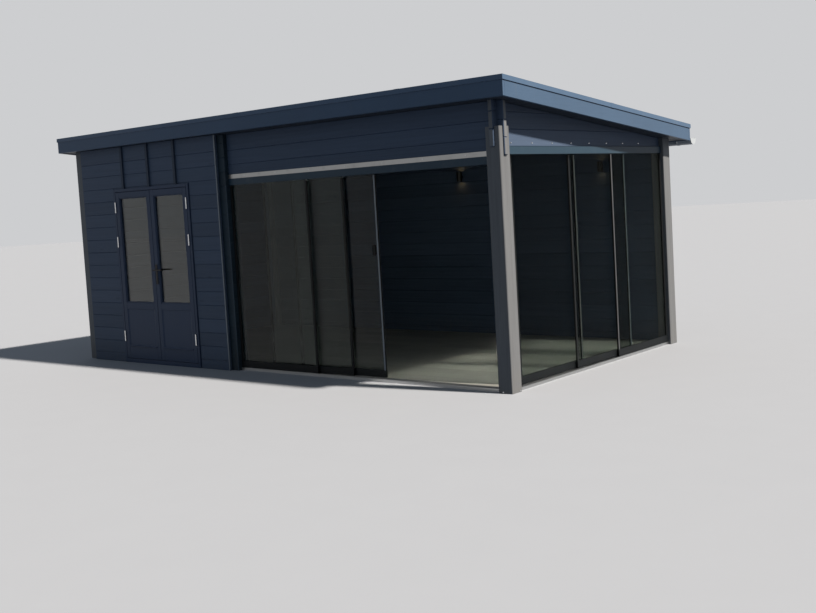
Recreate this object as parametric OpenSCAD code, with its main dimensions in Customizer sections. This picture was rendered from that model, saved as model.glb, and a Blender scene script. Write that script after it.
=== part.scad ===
// Garden office pod: a timber garden room with a gently sloping flat roof. The left end is a
// closed shed with a glazed double door; the rest has sliding glass panels on the front and
// on the right side, running in three tracks. Square posts carry crossing log headers.
// The front faces -Y, +X runs to the right along the front, and the ground is at Z = 0.
// The origin is on the ground, at the middle of the roof with its gutter.

/* [Body] */
// Length over the outer faces of the corner posts
body_length = 5970; // [5400:10:7200]
// Depth over the outer faces of the corner posts
body_depth = 3040; // [2600:10:3600]
// Side of the square posts
post = 140; // [120:2:160]
// Chamfer on the upright edges of the posts
post_chamfer = 5; // [1:1:10]
// Height by which the front right post stands above the front header's underside
post_over = 235; // [150:5:300]
// Length of the shed end, from the left face to the end of its front boards
shed_length = 2510; // [2300:10:2900]
// Width by which the shed's front boards cover the middle post
shed_cover = 45; // [20:5:80]
// Thickness of the shed's front boards, which stand proud of the posts
shed_board = 35; // [20:1:45]
// Depth of the shed's front framing behind the boards
shed_frame = 45; // [38:1:90]
// Thickness of the floor
floor_thick = 22; // [18:1:28]

/* [Logs] */
// Thickness of a wall log
log_thick = 44; // [34:1:58]
// Height of a wall log
log_height = 143; // [120:1:150]
// Distance from the roof's front edge down to the front header's underside
header_drop = 625; // [600:5:680]
// Length by which the header logs pass the faces of the posts
log_end = 15; // [5:1:30]
// Play of a log in its notch or slot, each side
log_play = 0.5; // [0.3:0.1:1]
// Width of the groove between two logs
groove = 6; // [3:1:10]

/* [Roof] */
// Height of the roof's front edge
roof_height = 2580; // [2520:5:2640]
// Fall of the roof to the back, for each metre
roof_fall = 100; // [60:5:110]
// Overhang of the fascia at the front
over_front = 130; // [80:5:300]
// Overhang of the fascia at the back
over_back = 190; // [100:5:300]
// Overhang of the fascia at each side
over_side = 145; // [80:5:300]
// Height of the fascia boards
fascia_depth = 165; // [160:1:200]
// Thickness of the fascia boards
fascia_thick = 28; // [18:1:36]
// Height of the edge trim on the fascia
trim_height = 38; // [25:1:60]
// Length by which the edge trim stands out from the fascia
trim_out = 8; // [4:1:15]
// Thickness of the edge trim's top
trim_thick = 4; // [2:1:6]
// Width of the edge trim's top, from the fascia's face
trim_top = 60; // [40:1:90]
// Height of the soffit above the lower edge of the fascia
soffit_rise = 8; // [0:1:20]
// Thickness of the soffit boards
soffit_thick = 15; // [12:1:20]
// Depth of the joists
joist_depth = 100; // [95:1:120]
// Width of the joists
joist_width = 45; // [38:1:60]
// Number of joists
joist_count = 11; // [8:1:14]
// Thickness of the roof deck
deck_thick = 18; // [15:1:22]
// Thickness of the roof membrane
membrane_thick = 3; // [2:1:4]

/* [Gutter] */
// Width of the half-round gutter
gutter_width = 125; // [100:5:150]
// Thickness of the gutter
gutter_wall = 3; // [2:0.5:4]
// Height of the gutter's rim above the lower edge of the back fascia
rim_over = 25; // [10:1:40]
// Gap between the gutter and the fascia
gutter_gap = 8; // [5:1:20]
// Diameter of the rolled bead on the rim
bead = 12; // [8:1:16]
// Number of gutter brackets
bracket_count = 8; // [5:1:12]
// Width of a gutter bracket
bracket_width = 25; // [20:1:30]
// Diameter of the downpipe
pipe = 80; // [60:1:90]
// Wall of the downpipe
pipe_wall = 3; // [2:0.5:4]
// Distance from the left face of the building to the middle of the downpipe
pipe_from_end = 65; // [50:5:120]
// Gap between the downpipe and the back of the post
pipe_gap = 20; // [10:1:40]
// Length of the gutter's outlet below the gutter
spigot_length = 60; // [50:1:80]
// Height over which the downpipe leans back under the eaves
bend_drop = 180; // [150:5:260]
// Height of the lower pipe clip
clip_low = 250; // [150:10:600]
// Height of the upper pipe clip
clip_high = 1500; // [1200:10:1650]
// Height of a pipe clip
clip_height = 25; // [18:1:35]
// Thickness of a pipe clip round the pipe
clip_thick = 3; // [2:0.5:5]

/* [Tracks] */
// Distance between two tracks
track_pitch = 26; // [26:1:34]
// Number of tracks
track_count = 3; // [3:1:3]
// Distance from the front face of the posts to the front tracks
front_inset = 41; // [30:1:50]
// Distance from the right face of the posts to the side tracks
side_inset = 28; // [20:1:50]
// Height of the front top track
top_track = 66; // [60:1:80]
// Height of the lips of the bottom track
lip_height = 27; // [26:1:32]
// Thickness of the bottom track's lips
lip_thick = 3; // [2:1:4]
// Thickness of the bottom track's base
base_thick = 10; // [8:1:14]
// Height of the running ribs
rib_height = 24; // [20:1:25]
// Width of the running ribs
rib_width = 6; // [4:1:8]
// Depth of the slots in the top track
slot_depth = 50; // [40:1:54]
// Play of a glass panel in its slot, each side
slot_play = 5.5; // [5:0.1:6.5]
// Height of the light strip in front of the front header
strip_height = 42; // [30:1:60]

/* [Glass panels] */
// Thickness of the glass
glass_thick = 10; // [8:1:12]
// Width of a front panel
front_panel = 1090; // [1080:5:1150]
// Width of a side panel
side_panel = 1035; // [950:5:1100]
// Gap between a closed panel and the post
end_gap = 5; // [5:1:10]
// Length by which the front middle panel stands open
front_middle_open = 620; // [0:5:1000]
// Length by which the front leading panel stands open
front_leading_open = 1305; // [0:5:2100]
// Length by which the side middle panel stands open
side_middle_open = 137; // [0:1:800]
// Length by which the side leading panel stands open
side_leading_open = 111; // [0:1:1600]
// Height of the shoe under a panel
shoe_height = 65; // [50:1:90]
// Thickness of the shoe
shoe_thick = 20; // [16:1:20]
// Height of the shoe above the ground
shoe_base = 32; // [32:1:40]
// Depth of the glass pocket in the shoe
shoe_pocket = 50; // [30:1:52]
// Thickness of the upright edge strips
edge_thick = 16; // [14:1:18]
// Width of the upright edge strips
edge_width = 26; // [10:1:30]
// Diameter of the rollers
roller = 24; // [20:1:30]
// Running gap between a roller and its rib
roller_gap = 0.3; // [0.2:0.1:0.5]
// Distance from a panel's edge to its roller
roller_inset = 130; // [80:5:200]
// Height of the finger pull above the ground
pull_height = 1200; // [900:10:1400]
// Length of the finger pull
pull_length = 100; // [80:1:140]
// Width of the finger pull
pull_width = 34; // [25:1:40]
// Thickness of the finger pull
pull_thick = 5; // [3:0.5:5]
// Depth of the hollow in the finger pull
pull_hollow = 3; // [1:0.5:4]
// Width of the rim round the hollow
pull_rim = 6; // [4:0.5:9]

/* [Double door] */
// Width over the door frame
door_width = 1314; // [1200:2:1400]
// Height of the door frame
door_height = 1945; // [1900:5:1990]
// Distance from the door frame to the right end of the shed's boards
door_from_end = 456; // [300:2:600]
// Length by which the door stands proud of the boards
door_proud = 10; // [5:1:20]
// Face width of the frame
frame_width = 34; // [30:1:60]
// Height of the threshold
threshold = 45; // [30:1:60]
// Width of the stop behind the leaves
door_stop = 14; // [10:1:20]
// Thickness of a leaf
leaf_thick = 50; // [44:1:56]
// Gap round a leaf
leaf_gap = 5; // [5:0.5:8]
// Bevel across the meeting edge of a leaf
leaf_bevel = 4; // [3.5:0.5:8]
// Width of a leaf's stiles
stile = 60; // [50:1:90]
// Height of the glass's lower edge above the ground
pane_low = 676; // [500:2:900]
// Height of a leaf's top rail
top_rail = 62; // [50:1:90]
// Depth of the glass behind the face of the leaf
pane_recess = 22; // [18:1:24]
// Thickness of a door pane
pane_thick = 18; // [14:1:20]
// Depth by which a pane sits in its groove
pane_groove = 12; // [8:1:16]
// Height of the middle rail
middle_rail = 70; // [50:1:120]
// Height of the leaf's bottom rail
bottom_rail = 150; // [100:2:200]
// Depth of the sunk panel
panel_sink = 8; // [5:1:12]
// Height of the weather bar
bar_height = 14; // [10:1:20]
// Length by which the weather bar stands out
bar_out = 14; // [8:1:20]

/* [Door fittings] */
// Height of the lowest hinge
hinge_low = 300; // [200:5:500]
// Height of the middle hinge
hinge_mid = 1355; // [1200:5:1450]
// Height of the highest hinge
hinge_high = 1740; // [1650:5:1780]
// Length of a hinge
hinge_length = 117; // [90:3:135]
// Diameter of a hinge barrel
barrel = 15; // [12:1:16]
// Diameter of a hinge pin
hinge_pin = 8; // [6:1:9]
// Play of a hinge pin
pin_play = 0.3; // [0.2:0.1:0.5]
// Distance from the leaf's face to the middle of the barrel
barrel_out = 8; // [8:0.5:10]
// Thickness of a hinge leaf
hinge_thick = 2; // [1.5:0.1:2]
// Depth of a hinge leaf in the gap
hinge_depth = 30; // [20:1:40]
// Height of the lever's spindle
lever_height = 1041; // [950:1:1100]
// Length of the lever
lever_length = 135; // [110:1:150]
// Diameter of the lever
lever_bar = 17; // [14:1:20]
// Distance from the leaf's face to the lever
lever_out = 48; // [40:1:60]
// Diameter of the spindle
spindle = 10; // [8:1:12]
// Width of the lock plate
plate_width = 34; // [28:1:40]
// Height of the lock plate
plate_height = 215; // [160:5:240]
// Thickness of the lock plate
plate_thick = 6; // [4:1:8]
// Length of the lock plate above the spindle
plate_over = 60; // [40:1:80]
// Width of the battens over the door
batten_width = 36; // [25:1:60]
// Thickness of the battens over the door
batten_thick = 20; // [15:1:30]
// Distance between the battens over the door
batten_pitch = 458; // [300:1:520]

/* [Lamps] */
// Distance from the ceiling at the back wall down to the wall lamps
lamp_drop = 232; // [150:2:400]
// Diameter of a wall lamp
lamp = 62; // [50:1:80]
// Length of a wall lamp
lamp_length = 110; // [80:1:150]
// Distance between the two lamps
lamp_spread = 1865; // [1200:5:2200]
// Distance by which the pair stands to the right of the front opening's middle
lamp_shift = 85; // [0:5:200]
// Gap between a lamp and the wall
lamp_gap = 14; // [8:1:25]
// Width of a lamp's arm
lamp_arm = 30; // [20:1:40]
// Wall of a lamp's tube
lamp_wall = 4; // [2:0.5:6]
// Depth of the hollow at each end of a lamp
lamp_hollow = 20; // [10:1:30]

/* [Hidden] */
$fn = 48;
eps = 1;

// Overall layout
reach_back = gutter_gap + gutter_width - gutter_wall / 2 + bead / 2;
depth_all = trim_out + over_front + body_depth + over_back + reach_back;
xr = body_length / 2;
xl = -xr;
yf = -depth_all / 2 + trim_out + over_front;
yb = yf + body_depth;
roof_front = yf - over_front;
roof_back = yb + over_back;
fall = roof_fall / 1000;

// Layers of the roof, measured down from the fascia's top
soffit_low = -fascia_depth + soffit_rise;
joist_low = soffit_low + soffit_thick;
deck_low = joist_low + joist_depth;
membrane_low = deck_low + deck_thick;

// Height of the fascia's top and of the soffit's underside at a place along Y
function roof_top(y) = roof_height - trim_thick - (y - roof_front) * fall;
function under(y) = roof_top(y) - fascia_depth + soffit_rise;

// Lines of the logs and headers
header_base = roof_height - header_drop;
post_top = header_base + post_over;
log_in = (post - log_thick) / 2;
header_y = [yf + log_in, yf + log_in + log_thick];
header_x = [xr - log_in - log_thick, xr - log_in];
side_base = header_base + log_height / 2;
log_courses = ceil((roof_height - header_base) / log_height);

// Shed front and middle post
shed_x = xl + shed_length;
mid_x = [shed_x - shed_cover, shed_x - shed_cover + post];
shed_y = [yf - shed_board, yf + shed_frame];

// Glass room openings between the posts
front_x = [mid_x[1], xr - post];
side_y = [yf + post, yb - post];
track_width = track_pitch * track_count;
front_y = yf + front_inset;
side_x = xr - side_inset;
side_track = top_track - 2;
front_under = header_base - top_track;
side_under = side_base - side_track;

// Places of the panels: the left edge of the front ones, the front edge of the side ones
front_fixed_at = front_x[0] + end_gap;
front_closed_at = front_x[1] - end_gap - front_panel;
front_middle_at = (front_fixed_at + front_closed_at) / 2 - front_middle_open;
front_leading_at = front_closed_at - front_leading_open;
side_fixed_at = side_y[1] - end_gap - side_panel;
side_closed_at = side_y[0] + end_gap;
side_middle_at = (side_closed_at + side_fixed_at) / 2 + side_middle_open;
side_leading_at = side_closed_at + side_leading_open;
glass_in = 30;
edge_stop = 9;
glass_edge = 3;

// Double door
door_x = [shed_x - door_from_end - door_width, shed_x - door_from_end];
door_face = yf - shed_board - door_proud;
leaf_back = door_face + leaf_thick;
leaf_z = [threshold + leaf_gap, door_height - frame_width - leaf_gap];
leaf_width = (door_width - 2 * frame_width - 3 * leaf_gap) / 2;
left_leaf_x = door_x[0] + frame_width + leaf_gap;
hinge_y = door_face - barrel_out;
left_axis = door_x[0] + frame_width + leaf_gap / 2;
right_axis = door_x[1] - frame_width - leaf_gap / 2;
lever_x = right_axis - leaf_gap / 2 - leaf_width + stile / 2;
door_mid = (door_x[0] + door_x[1]) / 2;

// Gutter and downpipe
gutter_rim = roof_top(roof_back) - fascia_depth + rim_over;
gutter_y = roof_back + gutter_gap + gutter_width / 2;
gutter_x = [-xr - over_side, xr + over_side];
pipe_x = xl + pipe_from_end;
pipe_y = yb + pipe_gap + pipe / 2;
spigot = pipe - 2 * pipe_wall - 2 * pin_play;
spigot_low = gutter_rim - gutter_width / 2 - spigot_length;
pipe_high = spigot_low + 2 / 3 * spigot_length;
bend_high = spigot_low - spigot_length;
bend_low = bend_high - bend_drop;

// A block between two corners
module block(x, y, z) {
    translate([x[0], y[0], z[0]])
        cube([x[1] - x[0], y[1] - y[0], z[1] - z[0]]);
}

// A block from a level base up to the sloping soffit
module under_roof(x, y, base) {
    rotate([90, 0, 90])
        translate([0, 0, x[0]])
            linear_extrude(x[1] - x[0])
                polygon([[y[0], base], [y[1], base], [y[1], under(y[1])], [y[0], under(y[0])]]);
}

// A sloping layer of the roof between two heights from the fascia's top
module roof_layer(grow, low, high) {
    y0 = roof_front - grow;
    y1 = roof_back + grow;
    half = xr + over_side + grow;
    rotate([90, 0, 90])
        translate([0, 0, -half])
            linear_extrude(2 * half)
                polygon([[y0, roof_top(y0) + low], [y1, roof_top(y1) + low],
                    [y1, roof_top(y1) + high], [y0, roof_top(y0) + high]]);
}

// A square post with chamfered edges, up to the soffit
module post_body(x, y) {
    c = post_chamfer;
    intersection() {
        translate([x, y, 0])
            linear_extrude(roof_height)
                polygon([[c, 0], [post - c, 0], [post, c], [post, post - c],
                    [post - c, post], [c, post], [0, post - c], [0, c]]);
        under_roof([x - eps, x + post + eps], [y, y + post], 0);
    }
}

// Slots for the headers that pass through the posts
module front_header_slot(x) {
    block([x - eps, x + post + eps],
        [header_y[0] - log_play, header_y[1] + log_play], [header_base, roof_height]);
}

module side_header_slot(y) {
    block([header_x[0] - log_play, header_x[1] + log_play],
        [y - eps, y + post + eps], [side_base, roof_height]);
}

module corner_post() {
    color("#8f9090")
        difference() {
            post_body(xr - post, yf);
            front_header_slot(xr - post);
            side_header_slot(yf);
            block([xr - post - eps, xr + eps], [yf - eps, yf + post + eps],
                [post_top, roof_height]);
        }
}

module middle_post() {
    color("#2c3642")
        difference() {
            post_body(mid_x[0], yf);
            front_header_slot(mid_x[0]);
        }
}

// Left front, left rear and right rear posts
module wall_posts() {
    color("#2c3642") {
        post_body(xl, yf);
        post_body(xl, yb - post);
        difference() {
            post_body(xr - post, yb - post);
            side_header_slot(yb - post);
        }
    }
}

module floor_deck() {
    color("#7d7a72")
        difference() {
            union() {
                block([xl + log_in + log_thick, side_x - track_width],
                    [front_y + track_width, yb - log_in - log_thick], [0, floor_thick]);
                block([xl + post, mid_x[0]], [shed_y[1], yf + post + eps], [0, floor_thick]);
            }
            for (x = [xl, xr - post], y = [yf, yb - post])
                block([x, x + post], [y, y + post], [-eps, floor_thick + eps]);
            block(mid_x, [yf, yf + post], [-eps, floor_thick + eps]);
        }
}

// The shed's front wall is boards on a frame, split beside and over the door
module shed_wall_left() {
    color("#303c4a") under_roof([xl + post, door_x[0]], shed_y, 0);
}

module shed_wall_right() {
    color("#303c4a") {
        under_roof([door_x[1], mid_x[0]], shed_y, 0);
        under_roof([mid_x[0] - eps, shed_x], [shed_y[0], yf], 0);
    }
}

module shed_wall_head() {
    color("#303c4a") under_roof(door_x, shed_y, door_height);
}

module door_battens() {
    color("#1a2430")
        for (i = [-1 : 1]) {
            x = door_mid + i * batten_pitch;
            under_roof([x - batten_width / 2, x + batten_width / 2],
                [shed_y[0] - batten_thick, shed_y[0]], door_height);
        }
}

module left_wall() {
    color("#303c4a")
        under_roof([xl + log_in, xl + log_in + log_thick], side_y, 0);
}

module back_wall() {
    color("#303c4a")
        under_roof([xl + post, xr - post],
            [yb - log_in - log_thick, yb - log_in], 0);
}

// One half-height notch for each course, where the two headers cross
module crossing_notches(base) {
    for (k = [0 : log_courses])
        block([header_x[0] - log_play, header_x[1] + log_play],
            [header_y[0] - log_play, header_y[1] + log_play],
            [base + k * log_height, base + (k + 0.5) * log_height]);
}

module front_header() {
    span = [mid_x[0], xr + log_end];
    color("#303c4a")
        difference() {
            under_roof(span, header_y, header_base);
            crossing_notches(header_base + log_height / 2);
            for (k = [1 : log_courses], s = [0, 1])
                translate([span[0] - eps, header_y[s], header_base + k * log_height])
                    rotate([0, 90, 0])
                        cylinder(d = groove, h = span[1] - span[0] + 2 * eps, $fn = 4);
        }
}

module side_header() {
    span = [yf - log_end, yb + log_end];
    color("#303c4a")
        difference() {
            under_roof(header_x, span, side_base);
            crossing_notches(header_base);
            crossing_notches(header_base - log_courses * log_height);
            for (k = [1 : log_courses], s = [0, 1])
                translate([header_x[s], span[0] - eps, side_base + k * log_height])
                    rotate([-90, 0, 0])
                        cylinder(d = groove, h = span[1] - span[0] + 2 * eps, $fn = 4);
        }
}

module header_strip() {
    color("#b9bcc0")
        block(front_x, [front_y, header_y[0]], [header_base, header_base + strip_height]);
}

// Section of a top track: across the tracks along X, height along Y
module top_section(height) {
    difference() {
        square([track_width, height]);
        for (k = [0 : track_count - 1])
            translate([(k + 0.5) * track_pitch - glass_thick / 2 - slot_play, -eps])
                square([glass_thick + 2 * slot_play, slot_depth + eps]);
    }
}

// Section of a bottom track: a base with two lips and a running rib for each track
module bottom_section() {
    square([track_width, base_thick]);
    for (u = [0, track_width - lip_thick])
        translate([u, 0])
            square([lip_thick, lip_height]);
    for (k = [0 : track_count - 1])
        translate([(k + 0.5) * track_pitch - rib_width / 2, 0])
            square([rib_width, rib_height]);
}

// Runs a section along the front or along the right side
module along_front(x) {
    translate([x[0], front_y, 0])
        rotate([90, 0, 90])
            linear_extrude(x[1] - x[0])
                children();
}

module along_side(y) {
    translate([side_x, y[1], 0])
        rotate([90, 0, 0])
            linear_extrude(y[1] - y[0])
                mirror([1, 0])
                    children();
}

module top_tracks() {
    color("#3a4148") {
        translate([0, 0, header_base - top_track])
            along_front(front_x) top_section(top_track);
        translate([0, 0, side_base - side_track])
            along_side(side_y) top_section(side_track);
    }
}

module bottom_tracks() {
    color("#aeb3ba") {
        along_front(front_x) bottom_section();
        along_side(side_y) bottom_section();
    }
}

// Upper end of the glass in a track whose underside is at a given height
function glass_top(track_under) = track_under + glass_in;

// A panel's glass, standing at the origin along +X, centred on Y = 0
module pane(width, track_under) {
    block([glass_edge, width - glass_edge], [-glass_thick / 2, glass_thick / 2],
        [shoe_base + shoe_height - shoe_pocket, glass_top(track_under)]);
}

// A panel's shoe with its rollers and the two upright edge strips
module shoe(width, track_under) {
    strip_top = track_under - edge_stop;
    difference() {
        union() {
            block([0, width], [-shoe_thick / 2, shoe_thick / 2],
                [shoe_base, shoe_base + shoe_height]);
            for (x = [0, width - edge_width])
                block([x, x + edge_width], [-edge_thick / 2, edge_thick / 2],
                    [shoe_base + shoe_height - eps, strip_top]);
            for (x = [roller_inset, width - roller_inset])
                translate([x, rib_width / 2, rib_height + roller_gap + roller / 2])
                    rotate([90, 0, 0])
                        cylinder(d = roller, h = rib_width);
        }
        block([glass_edge, width - glass_edge], [-glass_thick / 2, glass_thick / 2],
            [shoe_base + shoe_height - shoe_pocket, strip_top + eps]);
    }
}

// Puts a panel in a front track or in a side track
module in_front_track(track, at) {
    translate([at, front_y + (track + 0.5) * track_pitch, 0])
        children();
}

module in_side_track(track, at) {
    translate([side_x - (track + 0.5) * track_pitch, at, 0])
        rotate([0, 0, 90])
            children();
}

module fixed_glass() {
    color("#3c4a4a") {
        in_front_track(0, front_fixed_at) pane(front_panel, front_under);
        in_side_track(0, side_fixed_at) pane(side_panel, side_under);
    }
}

module fixed_shoes() {
    color("#23282d") {
        in_front_track(0, front_fixed_at) shoe(front_panel, front_under);
        in_side_track(0, side_fixed_at) shoe(side_panel, side_under);
    }
}

module front_middle_glass() {
    color("#3c4a4a") in_front_track(1, front_middle_at) pane(front_panel, front_under);
}

module front_middle_shoe() {
    color("#23282d") in_front_track(1, front_middle_at) shoe(front_panel, front_under);
}

module front_leading_glass() {
    color("#3c4a4a") in_front_track(2, front_leading_at) pane(front_panel, front_under);
}

module front_leading_shoe() {
    color("#23282d") in_front_track(2, front_leading_at) shoe(front_panel, front_under);
}

module side_middle_glass() {
    color("#3c4a4a") in_side_track(1, side_middle_at) pane(side_panel, side_under);
}

module side_middle_shoe() {
    color("#23282d") in_side_track(1, side_middle_at) shoe(side_panel, side_under);
}

module side_leading_glass() {
    color("#3c4a4a") in_side_track(2, side_leading_at) pane(side_panel, side_under);
}

module side_leading_shoe() {
    color("#23282d") in_side_track(2, side_leading_at) shoe(side_panel, side_under);
}

// An upright oval plate with a finger hollow in its face
module pull_plate() {
    reach = (pull_length - pull_width) / 2;
    difference() {
        oval(pull_width, reach, pull_thick);
        translate([0, 0, pull_thick - pull_hollow])
            oval(pull_width - 2 * pull_rim, reach, pull_thick);
    }
}

module oval(width, reach, height) {
    for (s = [-1, 1])
        translate([0, s * reach, 0])
            cylinder(d = width, h = height);
    translate([-width / 2, -reach, 0])
        cube([width, 2 * reach, height]);
}

// A finger pull on each face of the leading glass
module panel_pull() {
    color("#2a2d30")
        in_front_track(2, front_leading_at)
            translate([front_panel - edge_width - pull_width, 0, pull_height])
                for (s = [0, 1])
                    mirror([0, s, 0])
                        translate([0, -glass_thick / 2, 0])
                            rotate([90, 0, 0])
                                pull_plate();
}

module door_frame() {
    inner = [door_x[0] + frame_width, door_x[1] - frame_width];
    color("#2c3745")
        difference() {
            block(door_x, [door_face, shed_y[1]], [0, door_height]);
            block(inner, [door_face - eps, leaf_back + leaf_gap],
                [threshold, door_height - frame_width]);
            block([inner[0] + door_stop, inner[1] - door_stop], [door_face - eps, shed_y[1] + eps],
                [threshold, door_height - frame_width - door_stop]);
        }
}

// One leaf from its hinge edge at the origin along +X, with its face at Y = 0
module leaf_body() {
    z = leaf_z;
    pane_x = [stile, leaf_width - stile];
    pane_z = [pane_low, z[1] - top_rail];
    sunk_z = [z[0] + bottom_rail, pane_low - middle_rail];
    difference() {
        union() {
            translate([0, 0, z[0]])
                linear_extrude(z[1] - z[0])
                    polygon([[0, 0], [leaf_width, 0], [leaf_width - leaf_bevel, leaf_thick],
                        [0, leaf_thick]]);
            block([stile, leaf_width - stile], [-bar_out, eps],
                [z[0] + bottom_rail - bar_height, z[0] + bottom_rail]);
        }
        block(pane_x, [-eps, leaf_thick + eps], pane_z);
        block([pane_x[0] - pane_groove, pane_x[1] + pane_groove],
            [pane_recess, pane_recess + pane_thick],
            [pane_z[0] - pane_groove, pane_z[1] + pane_groove]);
        block(pane_x, [-eps, panel_sink], sunk_z);
        block(pane_x, [leaf_thick - panel_sink, leaf_thick + eps], sunk_z);
    }
}

module leaf_pane() {
    block([stile - pane_groove, leaf_width - stile + pane_groove],
        [pane_recess, pane_recess + pane_thick],
        [pane_low - pane_groove, leaf_z[1] - top_rail + pane_groove]);
}

// Puts a leaf at the left or, mirrored, at the right hinge line
module at_left_leaf() {
    translate([left_axis + leaf_gap / 2, door_face, 0])
        children();
}

module at_right_leaf() {
    translate([right_axis - leaf_gap / 2, door_face, 0])
        mirror([1, 0, 0])
            children();
}

module left_door_leaf() {
    color("#2f3c4b") at_left_leaf() leaf_body();
}

module right_door_leaf() {
    color("#2f3c4b")
        difference() {
            at_right_leaf() leaf_body();
            translate([lever_x, door_face - eps, lever_height])
                rotate([-90, 0, 0])
                    cylinder(d = spindle + 2, h = leaf_thick + 2 * eps);
        }
}

module left_door_glass() {
    color("#4a5552") at_left_leaf() leaf_pane();
}

module right_door_glass() {
    color("#4a5552") at_right_leaf() leaf_pane();
}

// Knuckles of the hinges on one hinge line: the frame's outer two and its pin
module frame_knuckles(axis, side) {
    third = hinge_length / 3;
    for (z = [hinge_low, hinge_mid, hinge_high]) {
        translate([axis, hinge_y, z - hinge_length / 2]) {
            for (s = [0, 2])
                translate([0, 0, s * third]) {
                    cylinder(d = barrel, h = third);
                    hinge_flap(side, third);
                }
            cylinder(d = hinge_pin, h = hinge_length);
        }
    }
}

// The leaf's middle knuckles, bored for the pin
module leaf_knuckles(axis, side) {
    third = hinge_length / 3;
    for (z = [hinge_low, hinge_mid, hinge_high])
        translate([axis, hinge_y, z - third / 2 + pin_play])
            difference() {
                union() {
                    cylinder(d = barrel, h = third - 2 * pin_play);
                    hinge_flap(-side, third - 2 * pin_play);
                }
                translate([0, 0, -eps])
                    cylinder(d = hinge_pin + 2 * pin_play, h = third + 2 * eps);
            }
}

// The flat leaf of a hinge, from the barrel into the gap on one side
module hinge_flap(side, height) {
    x = side * (leaf_gap / 2 - hinge_thick / 2);
    translate([x - hinge_thick / 2, 0, 0])
        difference() {
            cube([hinge_thick, barrel_out + hinge_depth, height]);
            translate([-barrel, -eps, -eps])
                cube([2 * barrel, hinge_pin / 2 + 1 + eps, height + 2 * eps]);
        }
}

module frame_hinges() {
    color("silver") {
        frame_knuckles(left_axis, -1);
        frame_knuckles(right_axis, 1);
    }
}

module left_leaf_hinges() {
    color("silver") leaf_knuckles(left_axis, -1);
}

module right_leaf_hinges() {
    color("silver") leaf_knuckles(right_axis, 1);
}

// Narrow plates on both faces of the right leaf, bored for the lever's neck
module lock_plate() {
    color("#1d2126")
        for (y = [door_face - plate_thick, leaf_back])
            difference() {
                block([lever_x - plate_width / 2, lever_x + plate_width / 2],
                    [y, y + plate_thick],
                    [lever_height + plate_over - plate_height, lever_height + plate_over]);
                translate([lever_x, y - eps, lever_height])
                    rotate([-90, 0, 0])
                        cylinder(d = lever_bar + 2 * pin_play, h = plate_thick + 2 * eps);
            }
}

// One handle from the leaf's face outwards along -Y, with its grip along +X
module handle() {
    rotate([90, 0, 0])
        translate([0, 0, pin_play])
            cylinder(d = lever_bar, h = lever_out - pin_play);
    translate([0, -lever_out, 0]) {
        sphere(d = lever_bar);
        rotate([0, 90, 0])
            cylinder(d = lever_bar, h = lever_length);
        translate([lever_length, 0, 0]) {
            sphere(d = lever_bar);
            rotate([-90, 0, 0])
                cylinder(d = lever_bar, h = lever_out / 2);
        }
    }
}

// The levers inside and outside, on one spindle through the leaf
module door_lever() {
    color("#1d2126")
        translate([lever_x, door_face, lever_height]) {
            handle();
            rotate([-90, 0, 0])
                translate([0, 0, -lever_out / 2])
                    cylinder(d = spindle, h = leaf_thick + lever_out);
            translate([0, leaf_thick, 0])
                mirror([0, 1, 0])
                    handle();
        }
}

// Two small up-and-down lamps on the back wall of the glass room
module wall_lamps() {
    mid = (front_x[0] + front_x[1]) / 2 + lamp_shift;
    wall = yb - log_in - log_thick;
    lamp_height = under(yb) - lamp_drop;
    color("#c9c4b8")
        for (s = [-1, 1])
            translate([mid + s * lamp_spread / 2, wall, lamp_height]) {
                translate([0, -lamp / 2 - lamp_gap, -lamp_length / 2])
                    difference() {
                        cylinder(d = lamp, h = lamp_length);
                        for (z = [-eps, lamp_length - lamp_hollow])
                            translate([0, 0, z])
                                cylinder(d = lamp - 2 * lamp_wall, h = lamp_hollow + eps);
                    }
                translate([-lamp_arm / 2, -lamp / 2, -lamp_arm / 2])
                    cube([lamp_arm, lamp / 2, lamp_arm]);
            }
}

module soffit_boards() {
    color("#39434e") roof_layer(-fascia_thick, soffit_low, joist_low);
}

// Joists from front to back with the deck on them
module roof_frame() {
    inner = xr + over_side - fascia_thick;
    step = (2 * inner - joist_width) / (joist_count - 1);
    color("#b79a6b") {
        roof_layer(-fascia_thick, deck_low, membrane_low);
        intersection() {
            roof_layer(-fascia_thick, joist_low, deck_low + eps);
            for (i = [0 : joist_count - 1])
                block([-inner + i * step, -inner + i * step + joist_width],
                    [roof_front, roof_back], [header_base, roof_height]);
        }
    }
}

module roof_membrane() {
    color("#15171a") roof_layer(-fascia_thick, membrane_low, membrane_low + membrane_thick);
}

// Front and back fascia boards over the full length
module long_fascias() {
    color("#33465c")
        intersection() {
            roof_layer(0, -fascia_depth, 0);
            for (y = [roof_front, roof_back - fascia_thick])
                block([-xr - over_side, xr + over_side], [y, y + fascia_thick],
                    [0, roof_height]);
        }
}

// Side fascia boards between the long ones
module side_fascias() {
    color("#7f8c99")
        intersection() {
            roof_layer(0, -fascia_depth, 0);
            for (x = [-xr - over_side, xr + over_side - fascia_thick])
                block([x, x + fascia_thick],
                    [roof_front + fascia_thick, roof_back - fascia_thick], [0, roof_height]);
        }
}

// An angle all round: its top lies on the fascias and its leg hangs down before them
module roof_edge_trim() {
    color("#8b949e")
        difference() {
            roof_layer(trim_out, -trim_height, trim_thick);
            roof_layer(0, -fascia_depth, 0);
            roof_layer(-trim_top, -fascia_depth, fascia_depth);
        }
}

// Section of the gutter about its own centre: a half ring with a bead on its outer rim
module gutter_section() {
    r = gutter_width / 2;
    difference() {
        circle(r);
        circle(r - gutter_wall);
        translate([-2 * r, 0])
            square([4 * r, 2 * r]);
    }
    translate([r - gutter_wall / 2, 0])
        circle(d = bead);
}

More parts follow.
